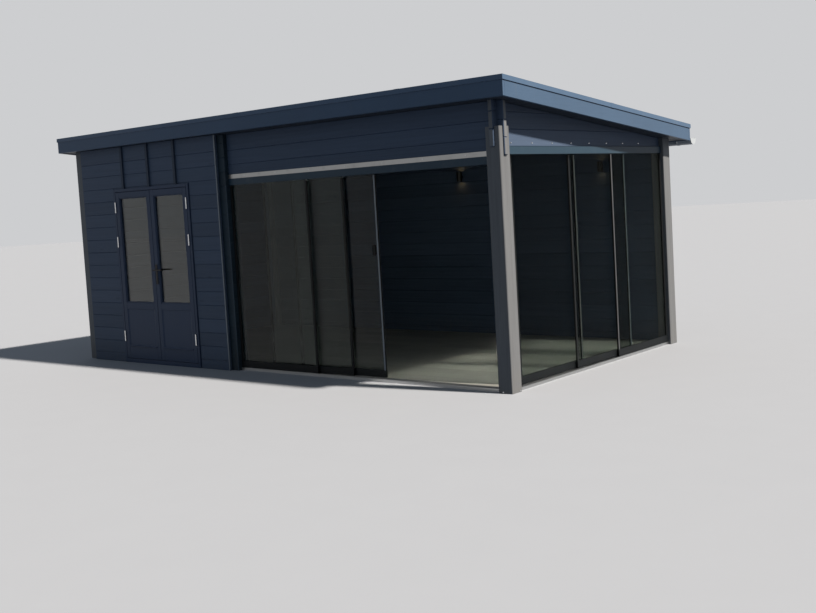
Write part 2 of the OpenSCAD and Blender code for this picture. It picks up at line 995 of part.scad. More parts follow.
module gutter_bracket_section() {
    r = gutter_width / 2;
    difference() {
        circle(r + 3);
        circle(r - gutter_wall / 2);
        translate([-2 * r, 0])
            square([4 * r, 2 * r]);
    }
    translate([-r - gutter_gap, -r * 0.8])
        square([3, r * 0.8]);
    translate([-r - gutter_gap, -4])
        square([gutter_gap + gutter_wall, 4]);
}

module along_gutter(x) {
    translate([x[0], gutter_y, gutter_rim])
        rotate([90, 0, 90])
            linear_extrude(x[1] - x[0])
                children();
}

module gutter() {
    inner = xr + over_side - 150;
    color("#c9cdd0")
        difference() {
            union() {
                along_gutter(gutter_x) gutter_section();
                for (x = [gutter_x[0], gutter_x[1] - gutter_wall])
                    along_gutter([x, x + gutter_wall])
                        difference() {
                            circle(gutter_width / 2);
                            translate([-gutter_width, 0])
                                square([2 * gutter_width, gutter_width]);
                        }
                for (i = [0 : bracket_count - 1]) {
                    x = -inner + i * (2 * inner - bracket_width) / (bracket_count - 1);
                    along_gutter([x, x + bracket_width]) gutter_bracket_section();
                }
                translate([pipe_x, gutter_y, spigot_low])
                    cylinder(d = spigot, h = gutter_rim - gutter_width / 2 + 10 - spigot_low);
            }
            translate([pipe_x, gutter_y, spigot_low - eps])
                cylinder(d = spigot - 2 * pipe_wall,
                    h = gutter_rim - spigot_low - gutter_width / 4);
        }
}

// The downpipe's run: down from the spigot, back under the eaves, then down the post
module pipe_run(d) {
    lean = pipe_y - gutter_y;
    tilt = atan2(-lean, bend_high - bend_low);
    span = sqrt(lean * lean + (bend_high - bend_low) * (bend_high - bend_low));
    translate([pipe_x, gutter_y, bend_high])
        cylinder(d = d, h = pipe_high - bend_high);
    translate([pipe_x, gutter_y, bend_high])
        sphere(d = d + pipe_wall);
    translate([pipe_x, pipe_y, bend_low])
        rotate([-tilt, 0, 0])
            cylinder(d = d, h = span);
    translate([pipe_x, pipe_y, bend_low])
        sphere(d = d + pipe_wall);
    translate([pipe_x, pipe_y, 0])
        cylinder(d = d, h = bend_low);
}

module downpipe() {
    color("#c9cdd0")
        difference() {
            union() {
                pipe_run(pipe);
                for (z = [clip_low, clip_high]) {
                    translate([pipe_x, pipe_y, z])
                        cylinder(d = pipe + 2 * clip_thick, h = clip_height);
                    block([pipe_x - clip_height / 2, pipe_x + clip_height / 2],
                        [yb, pipe_y], [z, z + clip_height]);
                }
            }
            pipe_run(pipe - 2 * pipe_wall);
            translate([pipe_x, gutter_y, pipe_high - eps])
                cylinder(d = pipe - 2 * pipe_wall, h = 3 * eps);
            translate([pipe_x, pipe_y, -eps])
                cylinder(d = pipe - 2 * pipe_wall, h = 3 * eps);
        }
}

floor_deck();
corner_post();
middle_post();
wall_posts();
shed_wall_left();
shed_wall_right();
shed_wall_head();
door_battens();
left_wall();
back_wall();
front_header();
side_header();
header_strip();
top_tracks();
bottom_tracks();
fixed_glass();
fixed_shoes();
front_middle_glass();
front_middle_shoe();
front_leading_glass();
front_leading_shoe();
side_middle_glass();
side_middle_shoe();
side_leading_glass();
side_leading_shoe();
panel_pull();
door_frame();
left_door_leaf();
right_door_leaf();
left_door_glass();
right_door_glass();
frame_hinges();
left_leaf_hinges();
right_leaf_hinges();
lock_plate();
door_lever();
wall_lamps();
soffit_boards();
roof_frame();
roof_membrane();
long_fascias();
side_fascias();
roof_edge_trim();
gutter();
downpipe();
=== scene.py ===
"""Dresses the garden office pod: boards, logs, glass panels, double door, roof, gutter and stage."""

import math
import random

import bmesh
import bpy
from mathutils import Matrix, Vector


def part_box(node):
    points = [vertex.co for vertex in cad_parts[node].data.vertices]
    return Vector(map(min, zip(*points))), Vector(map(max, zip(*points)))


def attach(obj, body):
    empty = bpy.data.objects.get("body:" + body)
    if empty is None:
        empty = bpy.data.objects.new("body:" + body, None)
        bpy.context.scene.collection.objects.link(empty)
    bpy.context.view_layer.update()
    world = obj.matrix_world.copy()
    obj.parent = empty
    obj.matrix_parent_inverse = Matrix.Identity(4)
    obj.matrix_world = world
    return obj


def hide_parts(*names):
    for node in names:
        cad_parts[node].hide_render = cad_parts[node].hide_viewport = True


bl_info = {
    "name": "Garden Office Pod",
    "version": (1, 0, 0),
    "blender": (4, 2, 0),
    "location": "3D View > Sidebar > Garden Pod",
    "description": "Builds the boards, glass, fittings, finishes and stage of a garden office pod",
    "category": "Object",
}

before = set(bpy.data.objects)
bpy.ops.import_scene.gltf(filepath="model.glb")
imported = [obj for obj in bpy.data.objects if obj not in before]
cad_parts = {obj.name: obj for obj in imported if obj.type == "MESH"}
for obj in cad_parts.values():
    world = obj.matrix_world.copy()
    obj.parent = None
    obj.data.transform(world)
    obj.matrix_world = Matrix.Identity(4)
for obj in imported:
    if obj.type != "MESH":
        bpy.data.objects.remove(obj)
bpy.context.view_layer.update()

# Corners of the parts that several operators build to
fascia_low, fascia_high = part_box("long_fascias")
corner_low, corner_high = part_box("corner_post")
middle_low, middle_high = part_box("middle_post")
posts_low, posts_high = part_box("wall_posts")
door_low, door_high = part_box("door_frame")
upper_low, upper_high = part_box("top_tracks")
lower_low, lower_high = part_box("bottom_tracks")

# Measures of the building, in metres
FALL = 0.1  # what the roof drops for each metre to the back
POST = 0.14
FASCIA_DEPTH = 0.165
FASCIA_THICKNESS = 0.028
SOFFIT_DROP = 0.157  # from the fascia's top to the soffit's underside
TRACK_PITCH = 0.026
FRONT_TRACK_UNDER = upper_low.z
SIDE_TRACK_UNDER = upper_high.z - 0.064
FRONT_PANEL = 1.09
SIDE_PANEL = 1.035
BITE = 0.001  # how far a block runs into its neighbour
OVERRUN = 0.01  # how far a top board stands past the ceiling before it is cut off there

PICTURE_WIDTH = 816
SENSOR_WIDTH = 36.0


def fascia_top(y):
    """Height of the fascia's top at a place along Y."""
    return fascia_high.z - (y - fascia_low.y) * FALL


def ceiling(y):
    """Height of the soffit's underside at a place along Y."""
    return fascia_top(y) - SOFFIT_DROP


def srgb(red, green, blue):
    """A colour given in screen values from 0 to 255, as Blender's linear values."""
    parts = [v / 255 for v in (red, green, blue)]
    return tuple(v / 12.92 if v <= 0.04045 else ((v + 0.055) / 1.055) ** 2.4 for v in parts)


def opaque(tone, factor=1.0):
    """A colour times a factor, with full alpha."""
    return (*(v * factor for v in tone), 1.0)


# Sizes and colours


def length(name, description, default, low=0.0, high=10.0):
    return bpy.props.FloatProperty(
        name=name, description=description, default=default, min=low, max=high,
        precision=4, subtype="DISTANCE", unit="LENGTH")


def colour(name, description, default):
    return bpy.props.FloatVectorProperty(
        name=name, description=description, default=default, size=3, min=0.0, max=1.0, subtype="COLOR")


def number(name, description, default, subtype="NONE"):
    return bpy.props.FloatProperty(name=name, description=description, default=default, subtype=subtype)


class GardenPodBoards(bpy.types.PropertyGroup):
    """Sizes of the boards and logs."""

    log_height: length("Log height", "Height of one log or front board", 0.143, 0.1, 0.2)
    front_joint: length("Front joint", "Height of a joint on the front and back", 1.955, 1.8, 2.1)
    side_joint: length("Side joint", "Height of a joint on the left and right sides", 2.0265, 1.8, 2.2)
    groove: length("Groove", "Depth of the groove along a joint between boards", 0.005, 0.001, 0.01)
    cladding: length("Cladding", "Thickness of the shed's front boards", 0.035, 0.02, 0.045)
    soffit_board: length("Soffit board", "Width of a soffit board", 0.121, 0.08, 0.2)
    plank_width: length("Plank width", "Width of a floor plank", 0.192, 0.1, 0.3)
    plank_length: length("Plank length", "Length of a floor plank", 1.38, 0.6, 3.0)
    plank_thickness: length("Plank thickness", "Thickness of a floor plank", 0.005, 0.003, 0.012)


class GardenPodFittings(bpy.types.PropertyGroup):
    """Sizes of the fittings and small parts."""

    screw: length("Screw head", "Diameter of a screw head", 0.015, 0.006, 0.02)
    strip_pitch: length("Strip screw pitch", "Distance between the screws of the light strip", 0.46, 0.1, 1.0)
    brush: length("Brush height", "Height of the brush seals in the top tracks", 0.012, 0.006, 0.02)
    bead: length("Glazing bead", "Width of the beads round the door panes", 0.012, 0.008, 0.02)
    lap: length("Sheet lap", "Width of a lap between two roof sheets", 0.08, 0.04, 0.15)
    sheet: length("Sheet width", "Width of a roof sheet", 1.05, 0.5, 2.0)


class GardenPodColours(bpy.types.PropertyGroup):
    """Colours of the finishes."""

    boards: colour("Boards", "Stain on boards and logs", srgb(73, 85, 103))
    posts: colour("Posts", "Stain on the posts", srgb(116, 116, 117))
    # Much darker than the boards: painted shade for the middle post's recess between the shed boards and the
    # glass
    shaded_log_ends: colour("Log ends", "Stain on the end grain of the middle post", srgb(40, 53, 62))
    fascia: colour("Fascia", "Paint on the fascia", srgb(73, 92, 114))
    door: colour("Door", "Paint on the double door", srgb(58, 70, 91))
    trim: colour("Edge trim", "Coating of the roof's edge trim", srgb(76, 96, 119))
    track: colour("Aluminium", "Mill finish of the bottom tracks and the light strip", srgb(186, 187, 187))
    coated: colour("Coated aluminium", "Powder coat on the top tracks", srgb(44, 62, 75))
    shoe: colour("Shoes", "Near black coating of the panels' shoes and pull", srgb(17, 20, 22))
    seal: colour("Seals", "Brushes and rubber seals", srgb(18, 18, 19))
    glass: colour("Glass", "Tint of the glass panels", srgb(212, 219, 216))
    planks: colour("Floor planks", "Grey beige floor planks", srgb(140, 138, 132))
    skin: colour("Roof sheet", "Dark roof sheets", srgb(48, 50, 54))
    gutter: colour("Gutter", "Coating of the gutter and downpipe", srgb(172, 175, 178))
    hinge: colour("Hinges", "Zinc plated steel", srgb(205, 206, 208))
    lever: colour("Lever", "Black coated lever and lock plate", srgb(24, 25, 27))
    lamp: colour("Lamps", "Dark satin metal of the wall lamps", srgb(62, 60, 57))


class GardenPodStage(bpy.types.PropertyGroup):
    """Camera, light and floor."""

    camera_place: bpy.props.FloatVectorProperty(
        name="Camera place", description="Where the camera stands", default=(7.8746, -8.7059, 1.6364),
        size=3, subtype="TRANSLATION", unit="LENGTH")
    yaw: number("Yaw", "Turn of the view from +Y towards +X", -0.696474, "ANGLE")
    pitch: number("Pitch", "Downward tilt of the view", 0.071013, "ANGLE")
    roll: number("Roll", "Turn of the camera about its own line of sight", -0.058786, "ANGLE")
    focal_pixels: number("Focal length", "Focal length in pixels of the 816 pixel wide picture", 1058.84)
    shift: bpy.props.FloatVectorProperty(
        name="Shift", description="Shift of the picture across and up, in picture widths",
        default=(-0.0002, -0.0381), size=2)
    floor: colour("Floor", "Pale stage floor", srgb(144, 145, 149))
    bounce: colour("Floor bounce", "Shade of the floor in the light it sends back", srgb(58, 66, 78))
    backdrop: colour("Backdrop", "Pale background", srgb(205, 206, 208))
    sky: number("Sky", "Strength of the soft light all round", 0.27)
    sun: number("Sun", "Strength of the soft key light", 8.4)
    sun_height: number("Sun height", "Height of the key light above the horizon", math.radians(50.9), "ANGLE")
    sun_turn: number("Sun turn", "Turn of the key light from +X towards the back", math.radians(9), "ANGLE")


# Finishes


def math_node(operation, swapped=False):
    """A method that adds a Math node; swapped is for a Signal that stands at the right of the sign."""
    def method(self, other):
        first, second = (other, self) if swapped else (self, other)
        return self.finish.node("ShaderNodeMath", {"operation": operation}, {0: first, 1: second})
    return method


class Signal:
    """One output of a finish's nodes, which can be reckoned with like a number."""

    def __init__(self, finish, socket):
        self.finish = finish
        self.socket = socket

    __add__, __radd__ = math_node("ADD"), math_node("ADD", True)
    __sub__, __rsub__ = math_node("SUBTRACT"), math_node("SUBTRACT", True)
    __mul__, __rmul__ = math_node("MULTIPLY"), math_node("MULTIPLY", True)
    __gt__ = math_node("GREATER_THAN")
    most = math_node("MAXIMUM")


class Finish:
    """The nodes of one material, or of the world."""

    ENDS = {"materials": "ShaderNodeOutputMaterial", "worlds": "ShaderNodeOutputWorld"}

    def __init__(self, name, kind="materials"):
        self.made = getattr(bpy.data, kind).new(name)
        self.made.use_nodes = True
        self.tree = self.made.node_tree
        self.tree.nodes.clear()
        self.end = self.ENDS[kind]

    def node(self, kind, settings=None, values=None, out=0):
        """Adds a node: its settings first, then the values or links of its sockets."""
        made = self.tree.nodes.new(kind)
        for key, value in (settings or {}).items():
            setattr(made, key, value)
        for key, value in (values or {}).items():
            if isinstance(value, Signal):
                self.tree.links.new(value.socket, made.inputs[key])
            else:
                made.inputs[key].default_value = value
        return Signal(self, made.outputs[out]) if made.outputs else None

    def show(self, shader):
        """Ends the nodes in a shader and returns the material or the world."""
        self.node(self.end, None, {"Surface": shader})
        return self.made

    def surface(self, **values):
        """Ends the nodes in the main shader, whose sockets are named by words joined with underscores."""
        sockets = {key.replace("_", " "): value for key, value in values.items()}
        return self.show(self.node("ShaderNodeBsdfPrincipled", None, sockets))

    def place(self, stretch=(1, 1, 1)):
        """The place on the piece, stretched along each axis."""
        here = self.node("ShaderNodeTexCoord", out="Object")
        if stretch == (1, 1, 1):
            return here
        return self.node("ShaderNodeMapping", None, {"Vector": here, "Scale": stretch})

    def board(self):
        """The number that each board of a piece carries, from 0 to 1."""
        return self.node("ShaderNodeAttribute", {"attribute_name": "board"}, out="Fac")

    def grain(self, step, stretch):
        """A place that is moved by a step for each board and stretched, so that no two boards match."""
        far = self.node("ShaderNodeCombineXYZ", None, {0: step * 3.71, 1: step * 5.13, 2: step * 2.37})
        there = self.node("ShaderNodeVectorMath", {"operation": "ADD"}, {0: self.place(), 1: far})
        return self.node("ShaderNodeMapping", None, {"Vector": there, "Scale": stretch})

    def part(self, vector, index):
        """One number of a vector or colour."""
        return self.node("ShaderNodeSeparateXYZ", None, {0: vector}, index)

    def noise(self, vector, scale=1.0, detail=3.0, roughness=0.5, distortion=0.0):
        return self.node("ShaderNodeTexNoise", None, {
            "Vector": vector, "Scale": scale, "Detail": detail, "Roughness": roughness,
            "Distortion": distortion})

    def cells(self, vector, scale=1.0, out="Distance"):
        return self.node("ShaderNodeTexVoronoi", {"feature": "F1"}, {"Vector": vector, "Scale": scale}, out)

    def rise(self, value, low, high):
        """0 below low, 1 above high and smooth between."""
        return self.node("ShaderNodeMapRange", {"interpolation_type": "SMOOTHSTEP"}, {
            "Value": value, "From Min": low, "From Max": high})

    def mix(self, share, first, second, blend="MIX"):
        """Mixes two colours; sockets 6 and 7 of the Mix node take them and its output 2 gives the result."""
        tones = [v if isinstance(v, Signal) else opaque(v) for v in (first, second)]
        return self.node("ShaderNodeMix", {"data_type": "RGBA", "blend_type": blend, "clamp_factor": True},
                         {0: share, 6: tones[0], 7: tones[1]}, 2)

    def shade(self, tone, factor):
        """A colour made lighter or darker by a number."""
        grey = self.node("ShaderNodeCombineXYZ", None, {0: factor, 1: factor, 2: factor})
        return self.mix(1.0, tone, grey, "MULTIPLY")

    def relief(self, height, depth, strength):
        return self.node("ShaderNodeBump", None, {"Height": height, "Distance": depth, "Strength": strength})

    def seen(self):
        """1 for what the camera sees, also in gloss or through glass, and 0 for light on other surfaces."""
        camera, gloss, glass = (self.node("ShaderNodeLightPath", out=ray)
                                for ray in ("Is Camera Ray", "Is Glossy Ray", "Is Transmission Ray"))
        return camera.most(gloss).most(glass)


def axes(along, length_scale, across_scale):
    """A stretch with one value along the grain and another across it."""
    return tuple(length_scale if axis == along else across_scale for axis in "XYZ")


def timber(name, paint, along, gloss=0.5, knots=0.35, dust=0.5, wear=0.12):
    """Softwood boards under an opaque stain: grain, knots, faded patches and dust near the ground."""
    finish = Finish(name)
    here = finish.place()
    board = finish.board()
    fibre = finish.noise(finish.grain(board, axes(along, 7, 420)), detail=2.0, roughness=0.6)
    rings = finish.noise(finish.grain(board, axes(along, 1.1, 46)), roughness=0.55, distortion=0.6)
    patches = finish.noise(finish.grain(board, axes(along, 1.2, 2.2)), detail=4.0, roughness=0.6)
    spots = finish.grain(board, axes(along, 2.1, 8.5))
    chosen = finish.part(finish.cells(spots, out="Color"), 0) > 1 - knots
    knot = (1 - finish.rise(finish.cells(spots), 0.05, 0.12)) * chosen
    tone = 0.82 + 0.2 * board + 0.42 * (rings - 0.5) + 0.3 * (fibre - 0.5) + wear * (patches - 0.35)
    body = finish.shade(paint, tone * (1 - 0.22 * knot))
    low = 1 - finish.rise(finish.part(here, 2) + 0.12 * (patches - 0.5), 0.02, 0.34)
    splash = finish.rise(finish.noise(here, scale=26.0, detail=5.0, roughness=0.7), 0.42, 0.7)
    grime = dust * low * (0.25 + 0.75 * splash)
    return finish.surface(
        Base_Color=finish.mix(grime * 0.45, body, srgb(112, 106, 96)),
        Roughness=gloss + 0.16 * (fibre - 0.5) + 0.12 * (patches - 0.5) + 0.25 * grime,
        Normal=finish.relief(0.5 * fibre + 0.9 * rings - 0.6 * knot, 0.0011, 0.75), Specular_IOR_Level=0.14)


def paint_on_timber(name, paint, along, gloss=0.38):
    """Smooth painted timber with a faint grain and a little dirt."""
    finish = Finish(name)
    board = finish.board()
    grain = finish.noise(finish.grain(board, axes(along, 3, 190)), roughness=0.6)
    patches = finish.noise(finish.place(), scale=1.7, detail=5.0, roughness=0.62)
    streaks = finish.noise(finish.place((9, 9, 0.9)), detail=4.0, roughness=0.65)
    body = finish.shade(paint, 0.92 + 0.2 * (grain - 0.5) + 0.24 * (patches - 0.5) + 0.07 * board)
    dirt = finish.rise(streaks, 0.56, 0.82) * 0.16
    return finish.surface(
        Base_Color=finish.mix(dirt, body, srgb(96, 98, 98)), Roughness=gloss + 0.14 * (patches - 0.3) + dirt,
        Normal=finish.relief(grain, 0.0007, 0.5), Specular_IOR_Level=0.16)


def bare_timber(name, paint, along):
    """Planed softwood inside the roof."""
    finish = Finish(name)
    rings = finish.noise(finish.grain(finish.board(), axes(along, 1.2, 40)), detail=4.0, distortion=0.8)
    return finish.surface(
        Base_Color=finish.mix(finish.rise(rings, 0.35, 0.7), paint, srgb(146, 104, 62)),
        Roughness=0.6 + 0.1 * rings, Normal=finish.relief(rings, 0.0006, 0.4))


def plank_floor(name, paint):
    """Grey-beige floor planks with a printed oak grain, brushed grooves and dust."""
    finish = Finish(name)
    board = finish.board()
    fibre = finish.noise(finish.grain(board, (10, 380, 380)), detail=2.0, roughness=0.6)
    rings = finish.noise(finish.grain(board, (1.3, 22, 22)), detail=5.0, roughness=0.6, distortion=1.2)
    body = finish.shade(paint, 0.74 + 0.30 * board + 0.42 * (rings - 0.5) + 0.10 * (fibre - 0.5))
    dust = finish.noise(finish.place(), scale=5.0, detail=6.0, roughness=0.7)
    return finish.surface(
        Base_Color=finish.mix(finish.rise(rings, 0.58, 0.8) * 0.3, body, srgb(104, 94, 82)),
        Roughness=0.42 + 0.2 * (dust - 0.4) + 0.1 * (rings - 0.5),
        Normal=finish.relief(0.6 * fibre + rings, 0.0005, 0.4))


def extruded_metal(name, paint, along, roughness=0.34, metal=1.0, dirt=0.2):
    """Aluminium profile with fine drawing lines along its length and dirt in places."""
    finish = Finish(name)
    lines = finish.noise(finish.place(axes(along, 1.5, 900)), detail=2.0, roughness=0.6)
    patches = finish.noise(finish.place(), scale=7.0, detail=5.0, roughness=0.65)
    grime = finish.rise(patches, 0.5, 0.78) * dirt
    return finish.surface(
        Base_Color=finish.mix(grime, finish.shade(paint, 0.92 + 0.1 * lines), srgb(92, 88, 80)),
        Metallic=metal - grime * 0.8 * metal, Roughness=roughness + 0.16 * (lines - 0.5) + 0.35 * grime,
        Normal=finish.relief(lines, 0.0002, 0.25))


def coated_metal(name, paint, roughness=0.42, grain=0.3, dirt=0.15, gloss=0.2):
    """Powder coat: a fine orange peel, a little dust and small scuffs."""
    finish = Finish(name)
    here = finish.place()
    peel = finish.noise(here, scale=900.0, detail=2.0)
    patches = finish.noise(here, scale=4.5, detail=5.0, roughness=0.65)
    scuff = finish.rise(finish.noise(finish.place((30, 30, 9)), detail=5.0, roughness=0.75), 0.62, 0.8)
    body = finish.shade(paint, 0.9 + 0.2 * patches)
    return finish.surface(
        Base_Color=finish.mix(finish.rise(patches, 0.52, 0.8) * dirt, body, srgb(120, 116, 106)),
        Roughness=roughness + 0.14 * (patches - 0.5) + 0.12 * scuff,
        Normal=finish.relief(peel, 0.0002, grain), Specular_IOR_Level=gloss)


def plated_steel(name, paint, roughness=0.24):
    """Bright zinc plating, or dark satin metal, with faint clouding."""
    finish = Finish(name)
    clouds = finish.noise(finish.place(), scale=60.0, detail=4.0, roughness=0.6)
    return finish.surface(
        Base_Color=finish.shade(paint, 0.86 + 0.22 * clouds), Metallic=1.0,
        Roughness=roughness + 0.16 * (clouds - 0.4), Normal=finish.relief(clouds, 0.0002, 0.3))


def brush_seal(name, paint):
    """Dark pile of a brush seal, or soft black rubber."""
    finish = Finish(name)
    pile = finish.noise(finish.place((900, 900, 40)), detail=2.0)
    return finish.surface(
        Base_Color=finish.shade(paint, 0.6 + 0.8 * pile), Roughness=0.75 + 0.2 * pile,
        Normal=finish.relief(pile, 0.001, 0.5), Specular_IOR_Level=0.3)


def clear_glass(name, tint, haze=0.35, ior=1.2):
    """Toughened glass: lamps shine through it, and dust and wipe marks make it a little hazy."""
    finish = Finish(name)
    wipes = finish.noise(finish.place((3.2, 3.2, 0.8)), detail=5.0, roughness=0.68, distortion=0.8)
    foot = 1 - finish.rise(finish.part(finish.place(), 2) + 0.15 * (wipes - 0.5), 0.05, 0.42)
    film = (finish.rise(wipes, 0.5, 0.85) * 0.5 + foot * 0.7) * haze
    glass = finish.node("ShaderNodeBsdfPrincipled", None, {
        "Base Color": opaque(tint), "Roughness": 0.0, "IOR": ior, "Transmission Weight": 1.0})
    dust = finish.node("ShaderNodeBsdfPrincipled", None, {
        "Base Color": opaque(srgb(118, 122, 122)), "Roughness": 0.7})
    dusty = finish.node("ShaderNodeMixShader", None, {0: film * 0.02, 1: glass, 2: dust})
    shadow = finish.node("ShaderNodeLightPath", out="Is Shadow Ray")
    through = finish.node("ShaderNodeBsdfTransparent", None, {"Color": opaque(tint, 0.8)})
    return finish.show(finish.node("ShaderNodeMixShader", None, {0: shadow, 1: dusty, 2: through}))


def roof_sheet(name, paint):
    """Dark mineral roof sheet with fine granules and a little dust."""
    finish = Finish(name)
    here = finish.place()
    grains = finish.cells(here, scale=420.0)
    clouds = finish.noise(here, scale=0.9, detail=6.0, roughness=0.6)
    body = finish.shade(paint, 0.72 + 0.6 * grains + 0.3 * (clouds - 0.5) + 0.16 * (finish.board() - 0.5))
    dust = finish.rise(finish.noise(here, scale=3.1, detail=7.0, roughness=0.72), 0.5, 0.85)
    return finish.surface(
        Base_Color=finish.mix(dust * 0.12, body, srgb(120, 118, 110)), Roughness=0.86,
        Normal=finish.relief(grains, 0.0012, 0.6), Specular_IOR_Level=0.3)


def frosted_lens(name):
    """Opal lens in the ends of a lamp, lit warm from inside."""
    finish = Finish(name)
    cloud = finish.noise(finish.place(), scale=40.0, detail=2.0)
    return finish.surface(
        Base_Color=finish.shade(srgb(226, 222, 208), 0.92 + 0.1 * cloud), Roughness=0.4 + 0.1 * cloud,
        Emission_Color=finish.shade(srgb(255, 202, 128), 0.9 + 0.1 * cloud), Emission_Strength=9.0)


finishes = {}


def make_finishes():
    """Makes every finish once, from the colours in the panel."""
    tones = bpy.context.scene.garden_pod_colours
    for axis, end in (("X", "_x"), ("Y", "_y")):
        finishes["boards " + axis] = timber("stained_boards" + end, tones.boards, axis)
        finishes["fascia " + axis] = paint_on_timber("painted_fascia" + end, tones.fascia, axis)
    for axis, end in (("X", "_x"), ("Z", "_z")):
        finishes["door " + axis] = paint_on_timber("painted_door" + end, tones.door, axis, 0.42)
        finishes["light strip " + axis] = extruded_metal("satin_light_strip" + end, tones.track * 0.62, axis)
    finishes.update({
        "track": extruded_metal("mill_aluminium_x", tones.track, "X"),
        "posts": timber("stained_posts", tones.posts, "Z", 0.46, 0.3, 0.6),
        # The middle post's stain is darkened as painted shade for its recess beside the glass
        "shaded log ends": timber("log_end_stain_with_painted_shade", tones.shaded_log_ends, "Y", 0.55, 0.0, 0.4),
        "battens": timber("stained_battens", tones.boards * 0.55, "Z"),
        # The soffit takes the boards' stain at 0.3: the darkening is painted shade under the roof
        "soffit": timber("soffit_stain_with_painted_shade", tones.boards * 0.3, "X", 0.5, 0.5, 0.0),
        "joists": bare_timber("planed_softwood", srgb(196, 158, 104), "Y"),
        "planks": plank_floor("oak_print_planks", tones.planks),
        "trim": coated_metal("coated_edge_trim", tones.trim, 0.36),
        "coated": coated_metal("anthracite_powder_coat", tones.coated),
        "shoe": coated_metal("black_powder_coat", tones.shoe, 0.5, 0.3, 0.04, 0.15),
        "edge strip": extruded_metal("satin_edge_strip", srgb(104, 112, 120), "Z", 0.45, 0.2, 0.04),
        # A dimmer copy of the edge strip for the side fixed panel's first strip: painted shade
        "shaded strip": extruded_metal("edge_strip_painted_shade", srgb(72, 74, 76), "Z", 0.5, 0.2, 0.04),
        "seal": brush_seal("brush_and_rubber", tones.seal),
        "glass": clear_glass("toughened_glass", tones.glass),
        # The side panes are the front glass with its tint at 0.75: the darker tint is painted shade
        "side glass": clear_glass("side_glass_with_painted_shade", tones.glass * 0.75, 0.2, 1.05),
        "door glass": clear_glass("insulated_glass", tones.glass, 0.2, 1.45),
        "skin": roof_sheet("mineral_roof_sheet", tones.skin),
        "gutter": coated_metal("coated_gutter", tones.gutter, 0.36, 0.2, 0.3),
        "hinge": plated_steel("zinc_plated_steel", tones.hinge),
        "lever": coated_metal("black_coated_lever", tones.lever, 0.34, 0.2, 0.05),
        "lamp": plated_steel("satin_lamp_metal", tones.lamp, 0.36),
        "lens": frosted_lens("opal_lens"),
    })


# Making pieces


